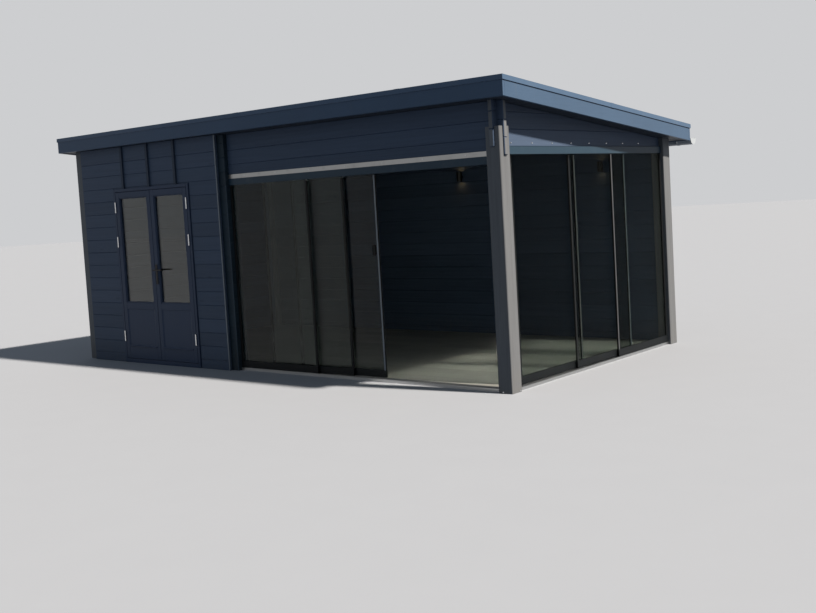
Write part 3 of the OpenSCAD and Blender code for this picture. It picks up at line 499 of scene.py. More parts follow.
class Joinery:
    """Collects shapes in one mesh, with a number for each board. A turn places them all."""

    def __init__(self, seed, turn=None):
        self.bm = bmesh.new()
        self.bm.faces.layers.float.new("board")
        self.chance = random.Random(seed)
        self.turn = turn

    def add(self, shape):
        """Moves a finished shape into the piece."""
        if self.turn is not None:
            bmesh.ops.transform(shape, matrix=self.turn, verts=shape.verts)
            if self.turn.determinant() < 0:
                bmesh.ops.reverse_faces(shape, faces=shape.faces[:])
        tag = shape.faces.layers.float.new("board")
        value = self.chance.random()
        for face in shape.faces:
            face[tag] = value
        mesh = bpy.data.meshes.new("loose")
        shape.to_mesh(mesh)
        shape.free()
        self.bm.from_mesh(mesh)
        bpy.data.meshes.remove(mesh)

    def block(self, low, high, chamfer=0.0, segments=1, slope=False, under=False, shift=None):
        """A block between two corners, with chamfered edges. slope leans it with the roof from its front
        edge, under cuts it off at the ceiling, and shift moves its corners first."""
        low, high = Vector(low), Vector(high)
        shape = bmesh.new()
        bmesh.ops.create_cube(shape, size=1.0)
        bmesh.ops.scale(shape, vec=high - low, verts=shape.verts)
        bmesh.ops.translate(shape, vec=(low + high) / 2, verts=shape.verts)
        if shift is not None:
            for vert in shape.verts:
                vert.co = shift(vert.co)
        if slope:
            lean(shape, low.y)
        if under:
            cut_at_ceiling(shape)
        if chamfer and shape.edges:
            bmesh.ops.bevel(shape, geom=shape.edges[:], offset=chamfer, offset_type="OFFSET",
                            segments=segments, profile=0.5, affect="EDGES", clamp_overlap=True, material=-1)
        self.add(shape)

    def logs(self, low, high, joints, groove, over=0.0):
        """Logs on one another between the joints, the top one cut off at the ceiling."""
        for z0, z1 in zip(joints, joints[1:]):
            top = z1 + over * (z1 == joints[-1])
            self.block((low.x, low.y, z0), (high.x, high.y, top), groove, under=True)

    def roof_bar(self, x, y, z, chamfer=0.0, segments=1):
        """A bar that leans with the roof, with z counted from the fascia's top at the bar's front."""
        top = fascia_top(y[0])
        self.block((x[0], y[0], top + z[0]), (x[1], y[1], top + z[1]), chamfer, segments, slope=True)

    def angle_strip(self, x, y, leg, top):
        """A slim angle over an upright arris, with its legs towards -X and +Y."""
        foot, thick, overlap, chamfer = 0.004, 0.0015, 0.0005, 0.0004
        self.block((x - leg, y - thick, foot), (x + thick, y + overlap, top), chamfer, under=True)
        self.block((x - overlap, y, foot), (x + thick, y + leg, top), chamfer, under=True)

    def stand(self, shape, middle, out):
        """Turns a shape's +Z to a direction, moves it to its place and adds it."""
        spin = Vector(out).to_track_quat("Z", "Y").to_matrix().to_4x4()
        bmesh.ops.transform(shape, matrix=Matrix.Translation(middle) @ spin, verts=shape.verts)
        self.add(shape)

    def rod(self, start, end, radius, sides=24, chamfer=0.0):
        """A round rod between two points."""
        start, end = Vector(start), Vector(end)
        shape = bmesh.new()
        bmesh.ops.create_cone(shape, cap_ends=True, segments=sides, radius1=radius, radius2=radius,
                              depth=(end - start).length)
        if chamfer:
            rims = [e for e in shape.edges if abs(e.verts[0].co.z - e.verts[1].co.z) < 1e-6]
            bmesh.ops.bevel(shape, geom=rims, offset=chamfer, offset_type="OFFSET", segments=1,
                            profile=0.5, affect="EDGES", material=-1)
        self.stand(shape, (start + end) / 2, end - start)

    def screw(self, place, out, size):
        """A pan-head screw with a sunk middle, whose head faces along out."""
        crown, height, border, sink, proud = (size * part for part in (0.36, 0.3, 0.16, 0.12, 0.13))
        shape = bmesh.new()
        bmesh.ops.create_cone(shape, cap_ends=True, segments=14, radius1=size / 2, radius2=crown,
                              depth=height)
        top = max(shape.faces, key=lambda f: f.calc_center_median().z)
        bmesh.ops.inset_individual(shape, faces=[top], thickness=border)
        bmesh.ops.translate(shape, vec=(0, 0, -sink), verts=top.verts)
        self.stand(shape, Vector(place) + Vector(out).normalized() * proud, out)

    def ring(self, low, high, centre, axis, angle=math.tau, steps=24):
        """A flat rectangle between two corners, turned about an axis through centre."""
        shape = bmesh.new()
        corners = (low, (high[0], low[1], low[2]), high, (low[0], high[1], high[2]))
        face = shape.faces.new([shape.verts.new(p) for p in corners])
        full = angle == math.tau
        bmesh.ops.spin(shape, geom=[face, *face.edges[:], *face.verts[:]], cent=centre, axis=axis,
                       angle=angle, steps=steps, use_merge=full, use_duplicate=False)
        if full:
            bmesh.ops.delete(shape, geom=[face], context="FACES_ONLY")
            bmesh.ops.remove_doubles(shape, verts=shape.verts, dist=1e-6)
        bmesh.ops.recalc_face_normals(shape, faces=shape.faces[:])
        self.add(shape)

    def piece(self, name, slot, finish, replaces=(), body="building", smooth=False, ends=None):
        """Makes the piece's object and joins it to the frame. ends is a direction and the finish of the
        faces that look that way."""
        mesh = bpy.data.meshes.new(name)
        self.bm.to_mesh(mesh)
        self.bm.free()
        if smooth:
            mesh.shade_smooth()
            mesh.set_sharp_from_angle(angle=math.radians(40))
        piece = bpy.data.objects.new(name, mesh)
        bpy.context.scene.collection.objects.link(piece)
        mesh.materials.append(finishes[finish])
        if ends:
            out, worn = ends
            mesh.materials.append(finishes[worn])
            for face in mesh.polygons:
                face.material_index = int(face.normal.dot(Vector(out)) > 0.99)
        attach(piece, body)
        for node in replaces:
            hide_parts(node)


def lean(shape, front):
    """Shears a level shape so that it falls to the back with the roof."""
    shear = Matrix(((1, 0, 0, 0), (0, 1, 0, 0), (0, -FALL, 1, FALL * front), (0, 0, 0, 1)))
    bmesh.ops.transform(shape, matrix=shear, verts=shape.verts)


def cut_at_ceiling(shape):
    """Cuts off what stands above the soffit and closes the cut."""
    geometry = shape.verts[:] + shape.edges[:] + shape.faces[:]
    cut = bmesh.ops.bisect_plane(shape, geom=geometry, dist=1e-6, plane_co=(0, 0, ceiling(0)),
                                 plane_no=(0, FALL, 1), clear_outer=True)
    edges = [g for g in cut["geom_cut"] if isinstance(g, bmesh.types.BMEdge)]
    if edges:
        bmesh.ops.holes_fill(shape, edges=edges, sides=0)


def dress(finish, *nodes):
    """Gives CAD nodes their finish."""
    for node in nodes:
        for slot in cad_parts[node].material_slots:
            slot.material = finishes[finish]


def courses(base, low, high, pitch):
    """Heights of the joints from low to high, with one at base and none too near to an end."""
    least = 0.035
    first = math.ceil((low + least - base) / pitch)
    last = math.floor((high - least - base) / pitch)
    return [low, *(base + k * pitch for k in range(first, last + 1)), high]


def along_range(low, high, pitch):
    """Places at an even pitch, with both ends at the same distance from low and high."""
    count = max(1, int((high - low) / pitch))
    rest = (high - low - count * pitch) / 2
    return [low + rest + i * pitch for i in range(count + 1)]


def both_ends(low, high, inset, reach):
    """The two strips at the ends of a range, from inset to reach inwards of each end."""
    return (low + inset, low + reach), (high - reach, high - inset)


class PieceOperator:
    """What the operators share."""

    bl_options = {"REGISTER", "UNDO"}


class GARDENPOD_OT_shed_front(PieceOperator, bpy.types.Operator):
    """Clads the shed's front beside and over the door with grooved boards on a frame"""

    bl_idname = "garden_pod.shed_front"
    bl_label = "Shed Front Boards"

    def execute(self, context):
        boards = context.scene.garden_pod_boards
        low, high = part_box("shed_wall_left")
        face, back = low.y, high.y
        behind = face + boards.cladding - BITE
        step, gap = 0.004, 0.006
        left, right = low.x + step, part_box("shed_wall_right")[1].x
        work = Joinery(3)
        joints = courses(boards.front_joint, 0.0, ceiling(face), boards.log_height)
        beside = ((left, door_low.x), (door_high.x + gap, right))
        for z0, z1 in zip(joints, joints[1:]):
            top = z1 + OVERRUN * (z1 == joints[-1])
            for x0, x1 in ((left, right),) if z0 > door_high.z else beside:
                work.block((x0, face, z0), (x1, behind, top), boards.groove, under=True)
        # A slim fillet between the door frame and the first board over it
        work.block((door_low.x + BITE, face + boards.groove, door_high.z),
                   (door_high.x - BITE, behind, boards.front_joint + boards.groove), 0.001)
        # The framing behind the boards
        for x0, x1, z in ((low.x, door_low.x, 0.0), (door_high.x, middle_low.x, 0.0),
                          (door_low.x, door_high.x, door_high.z)):
            work.block((x0, behind, z), (x1, back, ceiling(back) + 2 * OVERRUN), 0.001, under=True)
        work.piece("shed_front_boards", "painted_boards", "boards X",
                   ("shed_wall_left", "shed_wall_right", "shed_wall_head"))
        edge = Joinery(4)
        edge.angle_strip(right, face, 0.012, ceiling(face) + OVERRUN)
        edge.piece("shed_corner_strip", "bare_aluminium", "edge strip")
        self.battens()
        return {"FINISHED"}

    def battens(self):
        """Three upright battens over the door."""
        low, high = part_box("door_battens")
        half, foot, top = 0.018, low.z + 0.002, high.z + 2 * OVERRUN
        middle = (low.x + high.x) / 2
        work = Joinery(6)
        for x in (low.x + half, middle, high.x - half):
            work.block((x - half, low.y, foot), (x + half, high.y, top), 0.0025, under=True)
        work.piece("door_head_battens", "painted_posts", "battens", ("door_battens",))


class GARDENPOD_OT_log_walls(PieceOperator, bpy.types.Operator):
    """Builds the left and back walls from grooved logs"""

    bl_idname = "garden_pod.log_walls"
    bl_label = "Log Walls"

    def execute(self, context):
        boards = context.scene.garden_pod_boards
        low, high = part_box("left_wall")
        side = Joinery(11)
        side.logs(low, high, courses(boards.side_joint, 0.0, high.z, boards.log_height), boards.groove)
        side.piece("left_wall_logs", "painted_boards", "boards Y", ("left_wall",))
        low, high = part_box("back_wall")
        back = Joinery(12)
        joints = courses(boards.front_joint, 0.0, ceiling(low.y), boards.log_height)
        back.logs(low, high, joints, boards.groove, OVERRUN)
        back.piece("back_wall_logs", "painted_boards", "boards X", ("back_wall",))
        return {"FINISHED"}


class GARDENPOD_OT_headers(PieceOperator, bpy.types.Operator):
    """Lays the crossing header logs over the glass openings, with their screws"""

    bl_idname = "garden_pod.headers"
    bl_label = "Header Logs"

    def execute(self, context):
        boards, fittings = context.scene.garden_pod_boards, context.scene.garden_pod_fittings
        low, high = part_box("front_header")
        front = Joinery(21)
        joints = courses(low.z, low.z, ceiling(low.y), boards.log_height)
        front.logs(low, high, joints, boards.groove, OVERRUN)
        front.piece("front_header_logs", "painted_boards", "boards X", ("front_header",),
                    ends=((1, 0, 0), "posts"))
        low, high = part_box("side_header")
        side = Joinery(22)
        joints = courses(low.z, low.z, ceiling(low.y) + 2 * OVERRUN, boards.log_height)
        side.logs(low, high, joints, boards.groove)
        side.piece("side_header_logs", "painted_boards", "boards Y", ("side_header",),
                   ends=((0, -1, 0), "posts"))
        screws = Joinery(23)
        first, pitch, count, rise = -1.386, 0.318, 8, 0.03
        for i in range(count):
            screws.screw((high.x, first + pitch * i, low.z + rise), (1, 0, 0), fittings.screw)
        screws.piece("header_screws", "hinge_steel", "hinge", smooth=True)
        low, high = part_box("header_strip")
        strip = Joinery(24)
        inset = 0.06
        for x in along_range(low.x + inset, high.x - inset, fittings.strip_pitch):
            strip.screw((x, low.y, (low.z + high.z) / 2), (0, -1, 0), fittings.screw * 0.8)
        strip.piece("light_strip_screws", "hinge_steel", "hinge", smooth=True)
        dress("light strip X", "header_strip")
        return {"FINISHED"}


class GARDENPOD_OT_posts(PieceOperator, bpy.types.Operator):
    """Finishes the posts and fixes the corner post's foot with screws"""

    bl_idname = "garden_pod.posts"
    bl_label = "Posts"

    def execute(self, context):
        boards, fittings = context.scene.garden_pod_boards, context.scene.garden_pod_fittings
        dress("posts", "corner_post", "wall_posts")
        low, high = middle_low, middle_high
        work = Joinery(32)
        joints = courses(boards.side_joint, 0.0, ceiling(low.y), boards.log_height)
        work.logs(low, high, joints, boards.groove * 0.7, OVERRUN)
        # Their darker stain is painted shade for the recess between the shed boards and the glass
        work.piece("middle_post_logs", "painted_posts", "shaded log ends", ("middle_post",))
        edge = Joinery(33)
        edge.angle_strip(high.x, low.y, 0.006, FRONT_TRACK_UNDER)
        edge.piece("middle_post_edge", "bare_aluminium", "coated")
        screws = Joinery(31)
        across, along, z = 0.048, 0.115, 0.012
        screws.screw((corner_low.x + across, corner_low.y, z), (0, -1, 0), fittings.screw)
        screws.screw((corner_high.x, corner_low.y + along, z), (1, 0, 0), fittings.screw)
        screws.piece("post_foot_screws", "hinge_steel", "hinge", smooth=True)
        return {"FINISHED"}


class GARDENPOD_OT_roof_edge(PieceOperator, bpy.types.Operator):
    """Makes the fascia boards and the folded edge trim with its joint covers"""

    bl_idname = "garden_pod.roof_edge"
    bl_label = "Roof Edge"

    def execute(self, context):
        low, high = fascia_low, fascia_high
        depth, chamfer = (-FASCIA_DEPTH, 0.0), 0.0025
        long_boards = Joinery(41)
        for y in both_ends(low.y, high.y, 0.0, FASCIA_THICKNESS):
            long_boards.roof_bar((low.x, high.x), y, depth, chamfer, 2)
        long_boards.piece("long_fascia_boards", "painted_boards", "fascia X", ("long_fascias",))
        side_boards = Joinery(42)
        for x in both_ends(low.x, high.x, 0.0, FASCIA_THICKNESS):
            side_boards.roof_bar(x, (low.y + FASCIA_THICKNESS, high.y - FASCIA_THICKNESS), depth, chamfer, 2)
        side_boards.piece("side_fascia_boards", "painted_boards", "fascia Y", ("side_fascias",))
        self.edge_trim()
        return {"FINISHED"}

    def edge_trim(self):
        """A flange on the roof's rim and a leg down over the fascia, with covers on the joints."""
        low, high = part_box("roof_edge_trim")
        leg, out, top, skin, chamfer = 0.038, 0.008, 0.004, 0.0008, 0.0012
        flange = out + 0.06
        left, right = low.x, high.x
        front, back = low.y, fascia_high.y + out
        trim = Joinery(43)
        for reach, wide, tuck, z in ((flange, flange, 0.004, (0.0, top - skin)),
                                     (out, out - 0.0005, 0.002, (-leg, BITE))):
            for y in both_ends(front, back, skin, wide):
                trim.roof_bar((left + skin, right - skin), y, z, chamfer)
            for x in both_ends(left, right, skin, wide):
                trim.roof_bar(x, (front + reach - tuck, back - reach + tuck), z, chamfer)
        trim.piece("edge_trim_lengths", "trim_metal", "trim", ("roof_edge_trim",))
        covers = Joinery(44)
        half, thick, wide = 0.03, skin + 0.0004, flange + 0.002
        lid_z, apron_z = (top - thick, top), (-leg, top - skin)
        lids, aprons = both_ends(front, back, 0.0, wide), both_ends(front, back, 0.0, thick)
        for x in (-2.05, 0.0, 2.05):
            for lid, apron in zip(lids, aprons):
                covers.roof_bar((x - half, x + half), lid, lid_z)
                covers.roof_bar((x - half, x + half), apron, apron_z)
        for reach, z in ((wide, lid_z), (thick, apron_z)):
            for x in both_ends(left, right, 0.0, reach):
                covers.roof_bar(x, (-half, half), z)
        covers.piece("trim_joint_covers", "trim_metal", "trim")
        nails = Joinery(45)
        end, pitch, edge, size = 0.15, 0.5, 0.018, 0.009
        for x in along_range(left + end, right - end, pitch):
            for y in (front + flange - edge, back - flange + edge):
                nails.screw((x, y, fascia_top(y) + top - skin - BITE), (0, FALL, 1), size)
        nails.piece("trim_nails", "hinge_steel", "hinge", smooth=True)


class GARDENPOD_OT_roof_sheets(PieceOperator, bpy.types.Operator):
    """Lays the roof sheets with their laps and finishes the hidden roof frame"""

    bl_idname = "garden_pod.roof_sheets"
    bl_label = "Roof Sheets"

    def execute(self, context):
        fittings = context.scene.garden_pod_fittings
        dress("joists", "roof_frame")
        dress("skin", "roof_membrane")
        low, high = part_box("roof_membrane")
        laps = Joinery(51)
        count = math.ceil((high.x - low.x) / fittings.sheet)
        width = (high.x - low.x) / count
        inset, thick, step = 0.001, 0.0026, 0.0014
        for i in range(count):
            x = low.x + i * width
            lap = fittings.lap if i < count - 1 else 0.0
            lift = thick + step * (i % 2)
            laps.block((x + inset, low.y + inset, high.z - BITE),
                       (x + width + lap - inset, high.y - inset, high.z + lift), 0.0008, slope=True)
        laps.piece("roof_sheet_laps", "roof_skin", "skin")
        rim = Joinery(52)
        wide = 0.03
        z = (high.z - fascia_top(low.y) + BITE, -0.0005)
        for y in both_ends(low.y, high.y, 0.0, wide):
            rim.roof_bar((low.x, high.x), y, z, 0.001)
        for x in both_ends(low.x, high.x, 0.0, wide):
            rim.roof_bar(x, (low.y + wide, high.y - wide), z, 0.001)
        rim.piece("roof_sheet_upstand", "roof_skin", "skin")
        return {"FINISHED"}


class GARDENPOD_OT_soffit(PieceOperator, bpy.types.Operator):
    """Boards the ceiling and the overhangs"""

    bl_idname = "garden_pod.soffit"
    bl_label = "Soffit Boards"

    def execute(self, context):
        boards = context.scene.garden_pod_boards
        low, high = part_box("soffit_boards")
        work = Joinery(61)
        count = math.ceil((high.y - low.y) / boards.soffit_board)
        width, thick = (high.y - low.y) / count, 0.015
        for i in range(count):
            y = low.y + i * width
            under = ceiling(y)
            work.block((low.x, y, under), (high.x, y + width, under + thick), 0.003, slope=True)
        # The soffit's finish is darkened as painted shade under the roof
        work.piece("soffit_lining", "painted_boards", "soffit", ("soffit_boards",))
        return {"FINISHED"}


class GARDENPOD_OT_floor(PieceOperator, bpy.types.Operator):
    """Lays staggered planks on the floor deck"""

    bl_idname = "garden_pod.floor"
    bl_label = "Floor Planks"

    def execute(self, context):
        boards = context.scene.garden_pod_boards
        dress("planks", "floor_deck")
        low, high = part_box("floor_deck")
        front, back = corner_low.y + POST, posts_high.y - POST
        left = posts_low.x + POST
        foot, top = high.z - BITE, high.z + boards.plank_thickness
        narrowest, shortest = 0.05, 0.02
        openings = ((middle_high.x, corner_low.x), (left, middle_low.x))
        rows = [(lower_low.y + 3 * TRACK_PITCH, front, openings)]
        y = front
        while y < back - narrowest:
            rows.append((y, min(y + boards.plank_width, back), ((low.x, high.x),)))
            y += boards.plank_width
        rows.append((back, high.y, ((left, corner_low.x),)))
        work = Joinery(71)
        chance = random.Random(72)
        for y0, y1, spans in rows:
            for x0, x1 in spans:
                x = x0 - chance.uniform(0.1, 1.2)
                while x < x1 - BITE:
                    start, end = max(x, x0), min(x + boards.plank_length, x1)
                    if end - start > shortest:
                        work.block((start, y0, foot), (end, y1, top), 0.0008)
                    x += boards.plank_length
        work.piece("floor_planks", "floor_boards", "planks")
        return {"FINISHED"}


class GARDENPOD_OT_tracks(PieceOperator, bpy.types.Operator):
    """Finishes the tracks and fits brushes in the top ones"""

    bl_idname = "garden_pod.tracks"
    bl_label = "Tracks"

    def execute(self, context):
        fittings = context.scene.garden_pod_fittings
        dress("track", "bottom_tracks")
        dress("coated", "top_tracks")
        work = Joinery(81)
        slot, clear, sunk = 0.0105, 0.0062, 0.002
        front, side = FRONT_TRACK_UNDER + sunk, SIDE_TRACK_UNDER + sunk
        for track in range(3):
            y = upper_low.y + (track + 0.5) * TRACK_PITCH
            x = upper_high.x - (track + 0.5) * TRACK_PITCH
            for near, far in ((-slot, -clear), (clear, slot)):
                work.block((middle_high.x, y + near, front), (corner_low.x, y + far, front + fittings.brush))
                work.block((x + near, corner_low.y + POST, side),
                           (x + far, posts_high.y - POST, side + fittings.brush))
        work.piece("track_brushes", "dark_aluminium", "seal")
        return {"FINISHED"}


class GARDENPOD_OT_glass_panels(PieceOperator, bpy.types.Operator):
    """Glazes the openings and gives each panel its shoe, rollers and edge strips"""

    bl_idname = "garden_pod.glass_panels"
    bl_label = "Glass Panels"

    def execute(self, context):
        dress("glass", "front_middle_glass", "front_leading_glass")
        # The side glass's darker tint is painted shade
        dress("side glass", "side_middle_glass", "side_leading_glass")
        dress("shoe", "panel_pull")
        low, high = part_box("fixed_shoes")
        front_start, side_start = low.x, high.y - SIDE_PANEL
        self.fixed_panes(front_start, side_start)
        for track, name in enumerate(("front_fixed", "front_middle", "front_leading")):
            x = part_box(name + "_shoe")[0].x if track else front_start
            place = Matrix.Translation((x, lower_low.y + (track + 0.5) * TRACK_PITCH, 0))
            self.hardware(name, (name + "_shoe",) if track else (), FRONT_PANEL, FRONT_TRACK_UNDER, place)
        quarter = Matrix.Rotation(math.pi / 2, 4, "Z")
        for track, name in enumerate(("side_fixed", "side_middle", "side_leading")):
            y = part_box(name + "_shoe")[0].y if track else side_start
            place = Matrix.Translation((lower_high.x - (track + 0.5) * TRACK_PITCH, y, 0)) @ quarter
            node = name + "_shoe" if track else "fixed_shoes"
            self.hardware(name, (node,), SIDE_PANEL, SIDE_TRACK_UNDER, place)
        return {"FINISHED"}

    def fixed_panes(self, front_start, side_start):
        """The two panes that stay in place, at the outer track of each opening."""
        low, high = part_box("front_leading_glass")
        half = (high.y - low.y) / 2
        y = lower_low.y + 0.5 * TRACK_PITCH
        pane = Joinery(85)
        pane.block((front_start, y - half, low.z), (front_start + FRONT_PANEL, y + half, high.z), 0.0008)
        pane.piece("front_fixed_pane", "panel_glass", "glass")
        low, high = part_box("side_leading_glass")
        x = lower_high.x - 0.5 * TRACK_PITCH
        pane = Joinery(86)
        pane.block((x - half, side_start, low.z), (x + half, side_start + SIDE_PANEL, high.z), 0.0008)
        pane.piece("side_fixed_pane", "panel_glass", "side glass", ("fixed_glass",))

    def hardware(self, name, nodes, width, under, turn):
        """A panel's rail, strips and rollers, from its left lower corner at the origin along +X."""
        body = "building" if name.endswith("fixed") else name + "_panel"
        base, bed, height, half, glass, plate = 0.032, 0.0145, 0.065, 0.01, 0.0052, 0.0028
        rail = Joinery(name, turn)
        for y0, y1 in both_ends(-half, half, 0.0, half - glass):
            rail.block((0, y0, base + bed - 0.0005), (width, y1, base + height), 0.0012)
        rail.block((0, -half, base), (width, half, base + bed), 0.0012)
        for x in (0.0, width - plate):
            rail.block((x, -half, base), (x + plate, half, base + height), 0.0008)
        rail.piece(name + "_rail", "dark_aluminium", "shoe", nodes, body)
        foot, top = base + height - BITE, under - 0.009
        wide, lip, cap = 0.026, 0.004, 0.0026
        near, far, face, core, chamfer = 0.0051, 0.008, 0.0074, 0.0055, 0.0007
        # Strips of one kind get their finish by how light falls on them: the lighter finishes are painted
        # light on strips that catch light,
        # and the dimmer copy and the near black shoe finish on the other strips are painted shade
        lit_and_shaded_strips = {"front_leading_last": "edge strip", "side_leading_last": "light strip Z",
                  "side_middle_last": "edge strip", "side_fixed_first": "shaded strip"}
        for end, x0, cap_start in (("first", 0.0, 0.0), ("last", width - wide, width - cap)):
            strip = Joinery(name + end, turn)
            lips = Joinery(name + end + "lips", turn)
            x1 = x0 + wide
            strip.block((x0 + lip, -far, foot), (x1 - lip, -near, top), chamfer)
            for edge in (x0, x1 - lip):
                lips.block((edge, -face, foot), (edge + lip, -near, top), chamfer)
            lips.block((x0, near, foot), (x1, far, top), chamfer)
            lips.block((cap_start, -core, foot), (cap_start + cap, core, top), 0.0004)
            stem = name + "_" + end
            strip.piece(stem + "_strip", "dark_aluminium", lit_and_shaded_strips.get(stem, "shoe"), body=body)
            lips.piece(stem + "_seals", "dark_aluminium", "seal", body=body)
        rollers = Joinery(name + "rollers", turn)
        inset, axle = 0.13, 0.0363
        for x in (inset, width - inset):
            for reach, radius, sides, chamfer in ((0.003, 0.012, 28, 0.0006), (0.0062, 0.003, 12, 0.0)):
                rollers.rod((x, -reach, axle), (x, reach, axle), radius, sides, chamfer)
        rollers.piece(name + "_rollers", "hinge_steel", "hinge", body=body, smooth=True)


class GARDENPOD_OT_double_door(PieceOperator, bpy.types.Operator):
    """Builds the door frame and both glazed leaves from stiles, rails, panels and beads"""

    bl_idname = "garden_pod.double_door"
    bl_label = "Double Door"

    def execute(self, context):
        bead = context.scene.garden_pod_fittings.bead
        self.make_frame()
        low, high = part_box("left_door_leaf")
        left = Matrix.Translation((low.x, door_low.y, 0))
        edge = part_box("right_door_leaf")[1].x
        right = Matrix.Translation((edge, door_low.y, 0)) @ Matrix.Diagonal((-1, 1, 1, 1))
        self.make_leaf("left", left, high.x - low.x, bead, 91)
        self.make_leaf("right", right, high.x - low.x, bead, 92)
        dress("door glass", "left_door_glass", "right_door_glass")
        return {"FINISHED"}

    def make_frame(self):
        """Jambs, head and sill with the stop that the leaves close against, and the seal on the stop."""
        low, high = door_low, door_high
        face, sill, stop = 0.034, 0.045, 0.014
        left, right, head = low.x + face, high.x - face, high.z - face
        rebate = low.y + 0.055
        work = Joinery(90)
        for x0, x1 in both_ends(low.x, high.x, 0.0, face):
            work.block((x0, low.y, 0.0), (x1, high.y, high.z), 0.002)
        for z0, z1 in ((head, high.z), (0.0, sill)):
            work.block((left - BITE, low.y, z0), (right + BITE, high.y, z1), 0.002)
        for x0, x1 in ((left - BITE, left + stop), (right - stop, right + BITE)):
            work.block((x0, rebate, sill - BITE), (x1, high.y, head + BITE), 0.0015)
        work.block((left, rebate, head - stop), (right, high.y, head + BITE), 0.0015)
        work.piece("door_frame_timber", "painted_boards", "door Z", ("door_frame",))
        seal = Joinery(901)
        gap, width = 0.003, 0.011
        y0, y1 = rebate - 0.0036, rebate + BITE
        for x0, x1 in both_ends(left, right, gap, width):
            seal.block((x0, y0, sill + 0.002), (x1, y1, head - gap), 0.001)
        seal.block((left + gap, y0, head - width), (right - gap, y1, head - gap), 0.001)
        seal.piece("door_frame_seal", "dark_aluminium", "seal")

    def make_leaf(self, side, turn, width, bead, seed):
        """One leaf, from its hinge edge at the origin along +X with its face at Y = 0."""
        z0, z1 = 0.05, 1.906
        stile, top, middle, bottom, thick, bevel = 0.06, 0.062, 0.07, 0.15, 0.05, 0.004
        pane_low, pane_high = 0.676, z1 - top
        panel_low, panel_high = z0 + bottom, pane_low - middle
        left, right = stile - 0.0005, width - stile + 0.0005
        body = side + "_leaf"

        def meeting(point):
            """Bevels the back of the edge where the leaves meet."""
            if point.x > width - 0.001 and point.y > thick / 2:
                return Vector((point.x - bevel, point.y, point.z))
            return point

        def weathered(point):
            """Slopes the top of the drip board to the front."""
            if point.y < 0 and point.z > panel_low - 0.005:
                return Vector((point.x, point.y, point.z - 0.006))
            return point

        work = Joinery(seed, turn)
        work.block((0, 0, z0), (stile, thick, z1), 0.0022)
        work.block((width - stile, 0, z0), (width, thick, z1), 0.0022, shift=meeting)
        for foot, head in ((pane_high, z1), (panel_high, pane_low), (z0, panel_low)):
            work.block((left, 0.0004, foot), (right, thick - 0.0004, head), 0.0018)
        sink, rim, drip = 0.008, 0.014, 0.013
        foot, head = panel_low - BITE, panel_high + BITE
        work.block((left, sink, foot), (right, thick - sink, head), 0.001)
        for x0, x1 in both_ends(left, right, 0.0, rim):
            self.moulding(work, (x0, 0.0015, foot), (x1, sink + BITE, head), x0 > width / 2)
        work.block((stile, -drip, panel_low - drip), (width - stile, 0.002, panel_low), 0.003, 2,
                   shift=weathered)
        work.piece(body + "_joinery", "painted_boards", "door Z", (side + "_door_leaf",), body)
        beads = Joinery(seed + 5, turn)
        tuck = 0.0005
        for y0, y1 in ((0.006, 0.0222), (0.0398, 0.044)):
            for x0, x1 in both_ends(left, right, 0.0, bead):
                beads.block((x0, y0, pane_low - tuck), (x1, y1, pane_high + tuck), 0.003, 2)
            for foot, head in both_ends(pane_low, pane_high, -tuck, bead):
                beads.block((left + bead - 0.002, y0, foot), (right - bead + 0.002, y1, head), 0.003, 2)
        beads.piece(body + "_glazing_beads", "painted_boards", "door X", body=body)

    @staticmethod
    def moulding(work, low, high, flip):
        """A sloping moulding along the side of the sunk panel."""
        middle = ((low[0] + high[0]) / 2, (low[1] + high[1]) / 2)

        def slope(point):
            inside = point.x < middle[0] if flip else point.x > middle[0]
            if inside and point.y < middle[1]:
                return Vector((point.x, high[1] - 0.0012, point.z))
            return point

        work.block(low, high, 0.0006, shift=slope)


class GARDENPOD_OT_door_fittings(PieceOperator, bpy.types.Operator):
    """Finishes the hinges, lock plate and lever, and adds screws, collars and the lock cylinder"""

    bl_idname = "garden_pod.door_fittings"
    bl_label = "Door Fittings"

    def execute(self, context):
        dress("hinge", "frame_hinges", "left_leaf_hinges", "right_leaf_hinges")
        dress("lever", "lock_plate", "door_lever")
        low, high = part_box("lock_plate")
        lever_low, lever_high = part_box("door_lever")
        x, key, axle = (low.x + high.x) / 2, low.z + 0.068, (lever_low.z + lever_high.z) / 2
        inset, size, radius, half = 0.014, 0.008, 0.0085, 0.005
        work, screws, slots, collars = Joinery(101), Joinery(102), Joinery(103), Joinery(104)
        for y, out in ((low.y, -1), (high.y, 1)):
            for z in (low.z + inset, high.z - inset):
                screws.screw((x, y, z), (0, out, 0), size)
            inner, outer = y - out * 0.002, y + out * 0.003
            y0, y1 = sorted((inner, outer))
            work.rod((x, inner, key), (x, outer, key), radius, 28, 0.0006)
            work.block((x - half, y0, key - 0.024), (x + half, y1, key - 0.002), 0.0012, 2)
            y0, y1 = sorted((y + out * 0.0026, y + out * 0.0034))
            slots.block((x - 0.0012, y0, key - half), (x + 0.0012, y1, key + half))
            y0, y1 = sorted((y - out * 0.001, y + out * 0.004))
            collars.ring((x + 0.0093, y0, axle), (x + 0.0135, y1, axle), (x, y0, axle), (0, 1, 0), steps=28)
        work.piece("lock_cylinders", "lever_metal", "lever", body="right_leaf", smooth=True)
        screws.piece("lock_plate_screws", "lever_metal", "lever", body="right_leaf", smooth=True)
        slots.piece("lock_key_slots", "hinge_steel", "hinge", body="right_leaf")
        collars.piece("lever_collars", "lever_metal", "lever", body="right_leaf", smooth=True)
        return {"FINISHED"}


